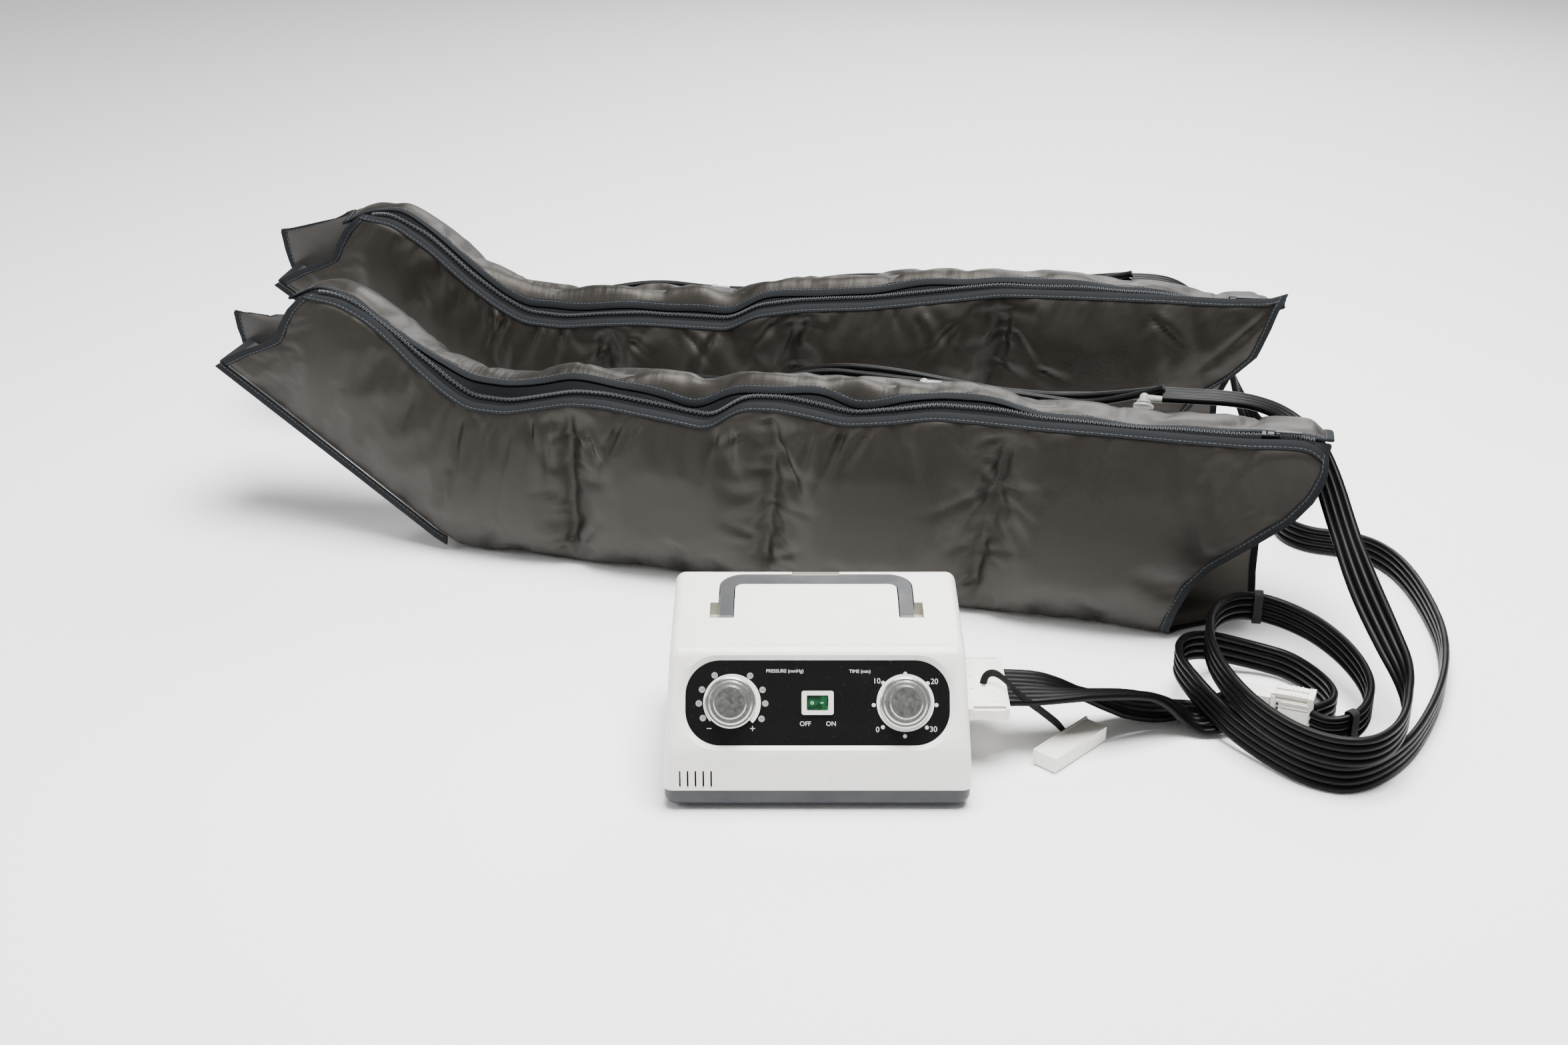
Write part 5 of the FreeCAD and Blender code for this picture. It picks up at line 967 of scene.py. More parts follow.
# moulded plates, and dark blocks of painted shade that stand for small holes: (size, centre, edge bevel), in
# metres from the coupler or the plug
COUPLER_PLATES = (((0.0036, 0.0016, 0.046), (0.032, 0, 0.0245), 0.0004),
                  ((0.0275, 0.0014, 0.030), (0.0515, 0, 0.0205), 0.0005),
                  ((0.0240, 0.0014, 0.0012), (0.0520, 0, 0.0378), 0.0003),
                  ((0.0240, 0.0014, 0.0012), (0.0520, 0, 0.0425), 0.0003),
                  ((0.014, 0.0014, 0.030), (0.018, 0, 0.025), 0.0005))
COUPLER_HOLES = (((0.0024, 0.0011, 0.0024), (0.0365, 0, 0.0402), 0.0002),
                 ((0.0024, 0.0011, 0.0024), (0.0365, 0, 0.0355), 0.0002))
PLUG_PLATES = (((0.0145, 0.070, 0.0012), (0.0102, 0, 0), 0.0005),
               ((0.0100, 0.070, 0.0009), (-0.0128, 0, 0), 0.0004))
PLUG_HOLES = (((0.0015, 0.0015, 0.0007), (-0.0128, 0.010, 0.0002), 0.0002),
              ((0.0015, 0.0015, 0.0007), (-0.0128, -0.012, 0.0002), 0.0002))
# middle of each tie in millimetres, and how far the hose is turned there
TIES = (((427.5, 170.2, 54.9), -7.0), ((477.5, -9.0, 29.3), 33.0))
# a tie's own sizes, in metres
TIE_HEIGHT = 0.0305
TIE_DEPTH = 0.0052                  # from the ribbon's middle to the band's face
TIE_CORNER = 0.004
TIE_CLEARANCE = 0.001               # above and below the ribbon
# (lift, place across the band) of the rings that make its bulge
TIE_RINGS = ((0.0, -0.0042), (0.0009, -0.0042), (0.0011, -0.002), (0.0011, 0.002), (0.0009, 0.0042),
             (0.0, 0.0042))


def connector_hole():
    """Painted shade: the shadow brown that stands for the small holes in the mouldings."""
    m = Wiring("connector_hole", tone(54, 48, 38), 0.7)
    m.tint(m.noise(600, 3), tone(24, 22, 18), 0.5)
    return m.material


def strap_weave(looks):
    """Flat woven cord with a slanting braid."""
    m = Wiring("cap_cord_weave", looks.strap, 0.8, Specular_IOR_Level=0.2)
    braid = m.node("ShaderNodeTexWave", {"Vector": m.uv_place},
                   {"Scale": 260.0, "Distortion": 1.5, "Detail": 1.0},
                   wave_type="BANDS", bands_direction="DIAGONAL").outputs["Fac"]
    m.tint(braid, lighter(looks.strap, 2.4), 0.6)
    m.relief(braid, 0.0003)
    return m.material


def tie_band(centre, facing):
    """A thin band that hugs a ribbon standing on edge; its loop lies across the hose."""
    outline = []
    for corner, (a, b) in enumerate(((1, 1), (-1, 1), (-1, -1), (1, -1))):
        for step in range(5):
            angle = math.radians(90 * corner + 90 * step / 4)
            outline.append((a * (TIE_DEPTH - TIE_CORNER) + TIE_CORNER * math.cos(angle),
                            b * (TIE_HEIGHT / 2 + TIE_CLEARANCE - TIE_CORNER) + TIE_CORNER * math.sin(angle)))
    c, s = math.cos(math.radians(facing)), math.sin(math.radians(facing))
    along, side = np.array((c, s, 0.0)), np.array((-s, c, 0.0))
    middle = np.array(centre) * MM
    rings = []
    for lift, half in TIE_RINGS:
        ring = []
        for a, b in outline:
            grow = 1 + lift / max(TIE_CORNER, math.hypot(a, b))
            ring.append(middle + side * a * grow + along * half + np.array((0, 0, b * grow)))
        rings.append(ring)
    return smooth(weave_grid("tie", rings, closed=True), 50)


class LEGPUMP_OT_fittings(bpy.types.Operator):
    """Finish the plug, couplers, blanking cap, cap cord, ties and nozzles"""
    bl_idname = "legpump.fittings"
    bl_label = "Plug, couplers and ties"

    def execute(self, context):
        looks = context.scene.legpump_hose
        ivory = moulded("connector_ivory", looks.connector, 0.4, 700.0, 0.00006)
        ivory.edge_wear(tone(236, 232, 222), 0.35, 0.0008)
        for node in ("outlet_socket", "plug_body", "plug_front_latch", "plug_rear_latch", "blanking_cap",
                     "near_coupler_socket", "near_coupler_plug", "near_coupler_latch",
                     "far_coupler_socket", "far_coupler_plug", "far_coupler_latch"):
            slot = "ivory_plastic" if node in ("outlet_socket", "plug_body") else "white_plastic"
            carry_over(node, ivory.material, slot)
        nozzle = moulded("nozzle_grey", context.scene.legpump_sleeve.nozzle, 0.4, 600.0)
        for side in SLEEVES:
            carry_over(side + "_air_nozzles", nozzle.material, "nozzle_grey", 40)
        self.moulded_details(ivory.material)
        self.cap_cord(looks)
        self.ties()
        return {"FINISHED"}

    def moulded_details(self, ivory):
        """Raised plates on the couplers and the plug, and dark blocks of painted shade for the small holes
        beside their latches.
        """
        # painted shade for the small holes
        hole = connector_hole()
        x, y = COUPLER_PLACE
        rear = Matrix.Translation((x * MM, y * MM, 0)) @ Matrix.Rotation(math.radians(COUPLER_TURN), 4, "Z")
        plates, holes = [], []
        for side, face in COUPLER_FACES:
            place = rear @ Matrix.Translation((0, face * MM, 0))
            plates.append(blocks(side + "_plates", place, COUPLER_PLATES))
            holes.append(blocks(side + "_holes", place, COUPLER_HOLES))
        place = Matrix.Translation([distance * MM for distance in PLUG_FACE])
        plates.append(blocks("plug_plates", place, PLUG_PLATES))
        holes.append(blocks("plug_holes", place, PLUG_HOLES))
        finish_piece(join(plates, "connector_plates"), ivory, ROOT, "white_plastic")
        finish_piece(join(holes, "connector_holes"), hole, ROOT, "black_gloss")

    def cap_cord(self, looks):
        weave = strap_weave(looks)
        line = route_line("cap_cord", CAP_STRAP, STRAP_SPACING * MM)
        profile = [(STRAP_HALF_WIDTH * MM * a, STRAP_HALF_THICKNESS * MM * b) for a, b in
                   circle_profile(1.0, 12)]
        piece = smooth(swept("cap_cord", line, profile, STRAP_TWIST), 60)
        finish_piece(piece, weave, ROOT, "strap_black", "cap_strap")

    def ties(self):
        """A band round the bundle at each tie."""
        band = moulded("tie_black", tone(9, 9, 10), 0.85, 500.0, 0.0004)
        bands = [tie_band(centre, facing) for centre, facing in TIES]
        finish_piece(join(bands, "hose_tie_bands"), band.material, ROOT, "strap_black", "hose_ties")


# ---- the leg sleeves -------------------------------------------------------------------
# every outline is in sleeve millimetres: (along the leg, up)
# KNOTS pairs a place along the sole with the place along the top that the same column reaches
KNOTS = ((-246, -130), (-123, -60), (0, 20), (75, 80), (151, 151), (355, 372), (571, 603), (763, 902))
SEAM_KNOTS = (4, 5, 6)              # the knots at which the chambers are welded apart
SOLE = ((-246, 187), (-6, 13), (14, 3), (40, 0), (905, 0))
FRONT_TOP = {
    "near": ((-130, 277), (-94, 274), (-64, 260), (-40, 241), (-16, 216), (13, 191), (40, 174), (82, 173),
             (125, 184), (152, 191), (187, 192), (228, 188), (268, 184), (300, 180), (315, 192), (336, 206),
             (372, 209), (409, 205), (440, 200), (485, 207), (529, 217), (573, 218), (638, 218), (702, 220),
             (765, 221), (827, 223), (867, 227), (888, 227), (902, 213)),
    "far": ((-130, 272), (-92, 270), (-53, 246), (-10, 207), (25, 181), (55, 165), (100, 162), (146, 168),
            (191, 172), (236, 172), (294, 172), (326, 190), (377, 200), (452, 207), (536, 221), (600, 232),
            (673, 234), (769, 235), (840, 234), (896, 237), (905, 246)),
}
BACK_TOP = {
    "near": ((-165, 260), (-133, 278), (-90, 268), (-50, 238), (-10, 208), (32, 190), (74, 188), (142, 203),
             (221, 198), (277, 185), (317, 207), (356, 211), (402, 214), (425, 209), (441, 202), (462, 207),
             (492, 217), (537, 225), (581, 222), (624, 215), (680, 212), (744, 211), (804, 213), (879, 216),
             (905, 214)),
    "far": ((-165, 258), (-133, 276), (-92, 276), (-53, 250), (-10, 212), (25, 187), (55, 171), (100, 168),
            (146, 174), (191, 178), (236, 177), (294, 177), (326, 196), (377, 205), (452, 212), (536, 227),
            (600, 236), (673, 238), (769, 239), (840, 238), (896, 240), (905, 244)),
}
# (along, height) of the soft roll that the back panel makes above the zip
PUFF = {
    "near": ((-165, 0), (0, 5), (70, 8), (150, 9), (215, 14), (273, 27), (310, 15), (378, 14), (412, 15),
             (446, 27), (473, 18), (520, 8), (566, 7), (621, 5), (717, 2), (820, 1), (905, 0)),
    "far": ((-165, 0), (-60, 4), (0, 12), (60, 22), (150, 21), (225, 21), (258, 24), (300, 20), (340, 13),
            (400, 17), (452, 14), (500, 16), (560, 9), (640, 9), (740, 8), (830, 3), (905, 0)),
}
FRONT_TOE = ((-246, 187), (-236, 194), (-210, 208), (-181, 220), (-169, 226), (-161, 243), (-151, 260),
             (-139, 272), (-130, 277))
BACK_TOE = {
    "near": ((-246, 187), (-256, 180), (-263, 176), (-268, 192), (-271, 213), (-262, 212), (-238, 209),
             (-205, 212), (-186, 220), (-176, 240), (-165, 260)),
    "far": ((-246, 187), (-256, 180), (-263, 176), (-268, 196), (-272, 222), (-258, 224), (-236, 230),
            (-200, 240), (-165, 258)),
}
FRONT_THIGH = {
    "near": ((763, 0), (769, 14), (776, 35), (787, 61), (806, 86), (837, 112), (876, 145), (894, 170),
             (903, 195), (902, 211)),
    "far": ((763, 0), (769, 14), (776, 35), (785, 61), (799, 90), (826, 129), (857, 152), (879, 175),
            (890, 206), (897, 230), (905, 246)),
}
BACK_THIGH = ((848, 0), (845, 40), (845, 80), (860, 115), (880, 150), (898, 190), (905, 222))
# once round the leg from the front zip edge to the back one: (share of the height, millimetres from
# front to back, 0 for the front panel and 1 for the back panel)
GIRTH = ((1.0, 13, 0), (0.975, 8, 0), (0.93, 6, 0), (0.5, 6, 0), (0.14, 8, 0), (0.05, 13, 0.02),
         (0.008, 24, 0.08), (0.0, 36, 0.2), (0.0, 76, 0.85), (0.01, 91, 1), (0.05, 100, 1),
         (0.13, 105, 1), (0.5, 107, 1), (0.80, 108, 1), (0.87, 107, 1), (0.9, 103, 1),
         (0.96, 76, 1), (0.98, 60, 1), (0.99, 48, 1), (1.0, 37, 1))
GIRTH_HEIGHT = 215
SEAM_DRAW = 12.0                    # how far a welded seam is drawn in
SOLE_DEPTH = 24.0                   # the foot's sole seam, from the front of the sleeve
HEEL_PINNED = 16.0                  # the sole seam is held from the toe to here
HEEL_BOUND = 12.0                   # and its tape ends here
NOZZLE_PAD = 15                     # fabric held round a nozzle's foot
LINING_GAP = 8.0                    # from the outer fabric to the lining
ROLL_DEPTHS = (37, 42, 49, 60, 78, 103, 108)    # places across the roll at the crest
FABRIC_FLOOR = 0.0011               # lowest that fabric, lining and tape lie, in metres
LINING_FLOOR = 0.0022
TAPE_FLOOR = 0.0025
ZIP_DEPTH = 25.0                    # chain, from the front of the sleeve
ZIP_REACH = (-128, 893)             # first and last tooth, along the leg
TOOTH_PITCH = 2.3
TOOTH_LIFT = 2.6
SLIDER_PLACE = 850.0
# the slider's plates, walls, bridge and pull: (size, centre, edge bevel), in metres
SLIDER_PARTS = (((0.017, 0.0105, 0.0016), (0, 0, 0.0042), 0.0007),
                ((0.017, 0.0014, 0.004), (0, 0.0046, 0.0026), 0.0005),
                ((0.017, 0.0014, 0.004), (0, -0.0046, 0.0026), 0.0005),
                ((0.009, 0.0028, 0.0012), (0, 0, 0.0076), 0.0005),
                ((0.0016, 0.0028, 0.003), (0.004, 0, 0.0061), 0.0004),
                ((0.0016, 0.0028, 0.003), (-0.004, 0, 0.0061), 0.0004),
                ((0.026, 0.0062, 0.0013), (0.0155, 0, 0.0072), 0.0006))
# a folded tape's outline where it doesn't depend on its width: (inward, outward) in millimetres
TAPE_FOLD = ((0.5, 1.6), (-1.3, 0.7), (-1.3, -0.7), (0.5, -1.6))
STITCH_INSET = 2.4                  # from the tape's inner edge
STITCH_LIFT = 1.28
STITCH_RADIUS = 0.42


def along_line(line, share):
    """Places at shares of a flat polyline's length."""
    line = np.asarray(line, float)
    far = np.concatenate([[0], np.cumsum(np.linalg.norm(np.diff(line, axis=0), axis=1))])
    return np.stack([np.interp(share * far[-1], far, line[:, k]) for k in range(2)], axis=-1)


def softened(line, times=2, step=8.0):
    """The same profile with its corners eased."""
    line = np.asarray(line, float)
    s = np.arange(line[0, 0], line[-1, 0] + step / 2, step)
    z = np.interp(s, line[:, 0], line[:, 1])
    for _ in range(times):
        z[1:-1] = (z[:-2] + 2 * z[1:-1] + z[2:]) / 4
    return np.stack([s, z], axis=1)


def column_shares(quad):
    """Positions of the columns between the knots, so that each seam is a column. Returns shares
    counted in knots and the seam columns."""
    shares, seams = [0.0], []
    stops = (0,) + SEAM_KNOTS + (len(KNOTS) - 1,)
    for first, last in zip(stops, stops[1:]):
        span = sum((abs(KNOTS[k + 1][0] - KNOTS[k][0]) + abs(KNOTS[k + 1][1] - KNOTS[k][1])) / 2
                   + 20 * (k < 2) for k in range(first, last))
        count = max(4, round(span / quad))
        shares += [first + (last - first) * (i + 1) / count for i in range(count)]
        if last != stops[-1]:
            seams.append(len(shares) - 1)
    return np.array(shares), seams


def panel_side(side, back, knot_shares, heights):
    """One panel as a Coons patch: (columns, rows, 2) of places along the leg and up."""
    number = np.arange(len(KNOTS))
    top, right = (BACK_TOP[side], BACK_THIGH) if back else (FRONT_TOP[side], FRONT_THIGH[side])
    left = BACK_TOE[side] if back else FRONT_TOE
    low_s = np.interp(knot_shares, number, [k[0] for k in KNOTS[:-1]] + [right[0][0]])
    high_s = np.interp(knot_shares, number, [left[-1][0]] + [k[1] for k in KNOTS[1:-1]] + [right[-1][0]])
    low = np.stack([low_s, np.interp(low_s, [p[0] for p in SOLE], [p[1] for p in SOLE])], axis=1)
    eased = softened(top, 2 if back else 1)
    high = np.stack([high_s, np.interp(high_s, eased[:, 0], eased[:, 1])], axis=1)
    share = (knot_shares / number[-1])[:, None, None]
    h = np.clip(heights, 0, 1)[None, :, None]
    straight = low[:, None] * (1 - h) + high[:, None] * h
    first = along_line(left, np.clip(heights, 0, 1)) - straight[0]
    last = along_line(right, np.clip(heights, 0, 1)) - straight[-1]
    fade_in = np.clip(1 - share * 4.0, 0, 1) ** 2
    fade_out = np.clip(1 - (1 - share) * 5.0, 0, 1) ** 2
    return straight + fade_in * first[None] + fade_out * last[None]


def roll_crest(side, places, heights, depths, blend):
    """Raises the back panel's top into a soft roll that falls away behind to the nozzles."""
    roof = np.flatnonzero((blend > 0.99) & (heights > 0.88))
    for column in range(3, places.shape[0] - 2):
        s, crest = places[column, -1, 0], places[column, -1, 2]
        puff = np.interp(s, *zip(*PUFF[side])) + 1.5 * math.sin(s / 17.0)
        shelf = min(top_height(s) - NOZZLE_DROP, crest - 6)
        wanted = np.interp(depths[roof], ROLL_DEPTHS,
                           (crest, crest + 0.55 * puff, crest + puff, crest + 0.85 * puff,
                            crest * 0.7 + shelf * 0.3 + 0.4 * puff, shelf, shelf - 6))
        fade = min(1.0, (column - 2) / 8.0)
        places[column, roof, 2] = places[column, roof, 2] * (1 - fade) + wanted * fade


def sleeve_places(side, quad):
    """A sleeve before it is blown up: a grid of places in sleeve millimetres, its seam columns, and
    each row's share of the height, depth and panel."""
    knot_shares, seams = column_shares(quad)
    far = [0.0]
    for (h0, t0, _), (h1, t1, _) in zip(GIRTH, GIRTH[1:]):
        far.append(far[-1] + math.hypot((h1 - h0) * GIRTH_HEIGHT, t1 - t0))
    rows = int(round(far[-1] / quad)) + 1
    wanted = np.linspace(0, far[-1], rows)
    heights = np.interp(wanted, far, [g[0] for g in GIRTH])
    depths = np.interp(wanted, far, [g[1] for g in GIRTH])
    blend = np.interp(wanted, far, [g[2] for g in GIRTH])
    front = panel_side(side, False, knot_shares, heights)
    back = panel_side(side, True, knot_shares, heights)
    mixed = front * (1 - blend)[None, :, None] + back * blend[None, :, None]
    places = np.empty(mixed.shape[:2] + (3,))
    places[..., 0] = mixed[..., 0]
    places[..., 1] = depths[None, :]
    places[..., 2] = mixed[..., 1]
    roll_crest(side, places, heights, depths, blend)
    return places, seams, heights, depths, blend


def pinch(places, seams, heights, depths):
    """Draws the welded seams in towards the middle of the sleeve."""
    columns = np.arange(places.shape[0])
    wall = np.clip(np.minimum(heights - 0.06, 0.97 - heights) * 9, 0, 1)
    for seam in seams:
        near = np.exp(-np.abs(columns - seam) / 0.9)
        inward = np.where(depths < 56, 1.0, -1.0) * wall * SEAM_DRAW
        places[..., 1] += near[:, None] * inward[None, :]
    return places


def wavy_crest(places, blend, heights, side):
    """Lets the back binding rise and fall between its stitches."""
    seed = 1.3 if side == "near" else 4.1
    s = places[..., 0]
    wave = 1.2 * np.sin(s / 31 + seed) + 0.9 * np.sin(s / 13.7 + 2 * seed)
    weight = np.clip((heights - 0.97) * 33, 0, 1)[None, :] * blend[None, :]
    places[..., 2] += wave * weight
    places[..., 1] += 1.8 * np.sin(s / 22 + seed) * weight
    return places


def inflate(piece, pins, looks):
    """Cloth under pressure with spare cloth between pinned seams, capped and applied."""
    pick(piece)
    rest = read_points(piece)
    group = piece.vertex_groups.new(name="pins")
    for weight in sorted(set(np.round(pins, 2))):
        if weight > 0:
            group.add([int(i) for i in np.flatnonzero(np.round(pins, 2) == weight)], float(weight), "REPLACE")
    cloth = piece.modifiers.new("Cloth", "CLOTH")
    settings = cloth.settings
    settings.quality = 6
    settings.mass = 0.12
    settings.tension_stiffness = 22
    settings.compression_stiffness = 22
    settings.shear_stiffness = 6
    settings.bending_stiffness = 0.6
    settings.tension_damping = 12
    settings.compression_damping = 12
    settings.air_damping = 2.5
    settings.use_pressure = True
    settings.uniform_pressure_force = looks.pressure
    settings.shrink_min = -looks.slack
    settings.vertex_group_mass = "pins"
    settings.pin_stiffness = 1.0
    settings.effector_weights.gravity = 0.0
    cloth.collision_settings.use_collision = False
    cloth.point_cache.frame_start = 1
    cloth.point_cache.frame_end = looks.frames
    scene = bpy.context.scene
    for number in range(1, looks.frames + 1):
        scene.frame_set(number)
    bpy.ops.object.modifier_apply(modifier=cloth.name)
    scene.frame_set(1)
    move = read_points(piece) - rest
    size = np.linalg.norm(move, axis=1, keepdims=True)
    move *= np.where(size > looks.swell, looks.swell / np.maximum(size, 1e-9), 1.0)
    settled = rest + move
    settled[:, 2] = np.maximum(settled[:, 2], FABRIC_FLOOR)
    lay_points(piece, settled)


# the long folds of each front panel: (start along, start up, end along, end up, width, depth)
FOLDS = {
    "near": ((91, 162, 73, 62, 8, 2.4), (114, 170, 106, 117, 6, 2.4), (127, 173, 129, 92, 6, 2.8),
             (60, 158, 52, 96, 8, 1.8), (36, 160, 22, 110, 8, 1.6), (172, 158, 183, 124, 7, 4.0),
             (209, 172, 183, 122, 8, 4.2), (230, 176, 208, 147, 7, 3.2), (373, 172, 400, 112, 9, 4.6),
             (444, 198, 414, 125, 9, 4.4), (410, 187, 398, 142, 8, 3.6), (467, 196, 443, 155, 7, 3.2),
             (592, 144, 529, 116, 8, 1.7), (592, 144, 650, 157, 8, 1.7), (592, 144, 558, 204, 7, 1.7),
             (592, 144, 610, 206, 7, 1.7), (592, 144, 633, 119, 6, 1.7), (592, 144, 558, 83, 8, 1.7),
             (311, 176, 297, 130, 7, 3.0), (327, 182, 323, 142, 6, 2.8), (340, 179, 310, 159, 6, 2.6),
             (160, 30, 186, 62, 8, 2.4), (350, 60, 318, 84, 8, 2.4), (366, 40, 402, 58, 8, 2.2),
             (700, 212, 690, 176, 6, 1.8), (770, 212, 764, 168, 6, 1.6), (838, 216, 800, 160, 9, 2.0)),
    "far": ((145, 157, 145, 113, 8, 3), (178, 150, 205, 132, 8, 3), (244, 164, 280, 127, 8, 3),
            (281, 166, 252, 105, 8, 3), (355, 190, 318, 144, 8, 3), (391, 193, 355, 137, 8, 3),
            (508, 200, 522, 168, 8, 3), (553, 198, 518, 153, 8, 3), (610, 211, 600, 130, 8, 3),
            (615, 193, 643, 152, 8, 3), (643, 152, 675, 138, 8, 3), (762, 217, 817, 169, 8, 3),
            (893, 230, 826, 165, 8, 3), (74, 162, 57, 117, 8, 3), (102, 159, 91, 119, 8, 3),
            (36, 170, 4, 113, 8, 3)),
}


def crease_fans(side, places, seams, heights):
    """Creases as (start along, start up, direction along, direction up, length, width, depth): the
    sleeve's own long folds, fans at the seams and short gathers under the zip binding."""
    rng = random.Random(7 if side == "near" else 19)
    top = FRONT_TOP[side]
    fans = []
    for s, z, to_s, to_z, wide, deep in FOLDS[side]:
        long = math.hypot(to_s - s, to_z - z)
        fans.append((s, z, (to_s - s) / long, (to_z - z) / long, long * 1.25, wide, deep))
    for seam in seams:
        for _ in range(9):
            level = rng.choice((0.93, 0.8, 0.66, 0.5, 0.35, 0.2))
            at = int(np.argmin(np.abs(heights[:len(heights) // 2] - level)))
            spot = places[seam, at]
            way = rng.choice((-1, 1))
            steep = math.radians(rng.uniform(-65, 20))
            fans.append((spot[0] + way * 2, spot[2], way * math.cos(steep), math.sin(steep),
                         rng.uniform(20, 46), rng.uniform(4, 6.5), rng.uniform(1.2, 2.4)))
    for _ in range(10):
        at = rng.uniform(-60, 110)
        steep = math.radians(rng.uniform(-112, -76))
        fans.append((at, np.interp(at, *zip(*top)) - rng.uniform(6, 14), math.cos(steep),
                     math.sin(steep), rng.uniform(35, 90), rng.uniform(5, 8), rng.uniform(1.0, 2.0)))
    for _ in range(30):
        at = rng.uniform(-100, 880)
        steep = math.radians(rng.uniform(-115, -65))
        fans.append((at, np.interp(at, *zip(*top)) - rng.uniform(6, 10), math.cos(steep),
                     math.sin(steep), rng.uniform(12, 34), rng.uniform(3.2, 5), rng.uniform(0.6, 1.4)))
    return fans


def gathered(piece, side, places, seams, heights):
    """Presses creases into the blown cloth where its seams and bindings gather it."""
    co, normals = read_points(piece), read_points(piece, "normal")
    rim, depth = np.zeros(len(co)), np.zeros(len(co))
    piece.data.attributes["rim"].data.foreach_get("value", rim)
    local = in_sleeve(side, co)
    for x, y, dx, dy, long, wide, deep in crease_fans(side, places, seams, heights):
        along = ((local[:, 0] - x) * dx + (local[:, 2] - y) * dy) / long
        away = ((local[:, 0] - x) * -dy + (local[:, 2] - y) * dx) / wide
        body = np.clip(along * 7, 0, 1) * np.clip(1 - along, 0, 1) ** 0.9
        away = away / (0.55 + 0.75 * np.clip(along, 0, 1))
        groove = np.exp(-1.6 * np.abs(away))
        ridges = [np.exp(-((away + shift) / 0.9) ** 2) for shift in (-1.3, 1.3)]
        depth += 1.7 * deep * body * (groove - 0.5 * ridges[0] - 0.3 * ridges[1])
    depth *= np.clip(rim, 0, 1)
    moved = co - normals * (depth[:, None] * MM)
    moved[:, 2] = np.maximum(moved[:, 2], FABRIC_FLOOR)
    lay_points(piece, moved)


def nylon(looks):
    """Coated nylon: a fine weave, a slight crush, painted shade along the welded seams, and gathers near
    seams and hems.
    """
    m = Wiring("sleeve_nylon", looks.fabric, 0.45, Specular_IOR_Level=0.34)
    m.shader.inputs["Specular Tint"].default_value = (1.0, 0.94, 0.86, 1.0)
    wide = m.node("ShaderNodeTexWave", {"Vector": m.uv_place}, {"Scale": 330.0, "Distortion": 0.4},
                  bands_direction="X").outputs["Fac"]
    tall = m.node("ShaderNodeTexWave", {"Vector": m.uv_place}, {"Scale": 330.0, "Distortion": 0.4},
                  bands_direction="Y").outputs["Fac"]
    weave = m.maths("MULTIPLY", wide, tall)
    crush = m.node("ShaderNodeTexVoronoi", {"Vector": m.uv_place}, {"Scale": 26.0, "Randomness": 1.0},
                   feature="SMOOTH_F1").outputs["Distance"]
    m.tint(m.noise(5, 3), lighter(looks.fabric, 0.86), 0.3)
    m.tint(m.span(m.noise(70, 6), 0.0, 1.0, 0.5, 0.7), lighter(looks.fabric, 1.15), 0.2)
    m.tint(weave, lighter(looks.fabric, 1.35), 0.16)
    # painted shade along the valley of each welded seam
    m.tint(m.node("ShaderNodeAttribute", attribute_name="seam_shade").outputs["Fac"],
           lighter(looks.fabric, 0.3), 0.75)
    m.gloss(m.noise(24, 4), 0.38, 0.48)
    m.relief(weave, 0.00012, 0.6)
    m.relief(m.noise(60, 5, m.uv_place), 0.0011, 0.12)
    m.relief(crush, 0.0022, 0.06)
    near_seam = m.node("ShaderNodeAttribute", attribute_name="seam_pull").outputs["Fac"]
    near_hem = m.node("ShaderNodeAttribute", attribute_name="hem_pull").outputs["Fac"]
    for pull, scale in ((near_seam, (10.0, 60.0, 1.0)), (near_hem, (60.0, 10.0, 1.0))):
        place = m.node("ShaderNodeMapping", {"Vector": m.uv_place}, {"Scale": scale}).outputs["Vector"]
        folds = m.noise(1.0, 2.0, place)
        m.relief(m.maths("MULTIPLY", folds, pull), 0.005, 0.3)
    return m.material


def tape_cloth(looks):
    """Ribbed grosgrain."""
    m = Wiring("grosgrain", looks.binding, 0.75, Specular_IOR_Level=0.18)
    ribs = m.node("ShaderNodeTexWave", {"Vector": m.uv_place}, {"Scale": 210.0, "Distortion": 0.3},
                  bands_direction="X").outputs["Fac"]
    m.tint(ribs, lighter(looks.binding, 1.6), 0.3)
    m.tint(m.noise(60, 4), lighter(looks.binding, 0.75), 0.4)
    m.relief(ribs, 0.00025, 0.8)
    m.relief(m.noise(150, 3), 0.0004, 0.4)
    return m.material


def lining_cloth(looks):
    """Smooth lining, crumpled a little, with painted light towards the thigh mouth."""
    m = Wiring("sleeve_lining", looks.lining, 0.6, Sheen_Weight=0.15)
    m.tint(m.noise(40, 4), lighter(looks.lining, 0.6), 0.6)
    along = m.node("ShaderNodeSeparateXYZ", {"Vector": m.uv_place}).outputs["X"]
    # painted light where the lining shows at the thigh mouth
    m.tint(m.span(along, 0.0, 1.0, 0.72, 0.98), lighter(looks.lining, 3.2))
    m.relief(m.noise(60, 4), 0.0012, 0.5)
    return m.material


def stitch_thread(looks):
    m = Wiring("stitch_thread", looks.thread, 0.7)
    m.tint(m.noise(700, 2), lighter(looks.thread, 0.7), 0.5)
    return m.material


def zip_weave(looks):
    """The dark tape that carries a zip's coil."""
    m = Wiring("zip_tape_weave", lighter(looks.binding, 0.3), 0.85, Specular_IOR_Level=0.15)
    m.tint(m.noise(300, 3), lighter(looks.binding, 0.8), 0.4)
    m.relief(m.noise(500, 2), 0.0002)
    return m.material


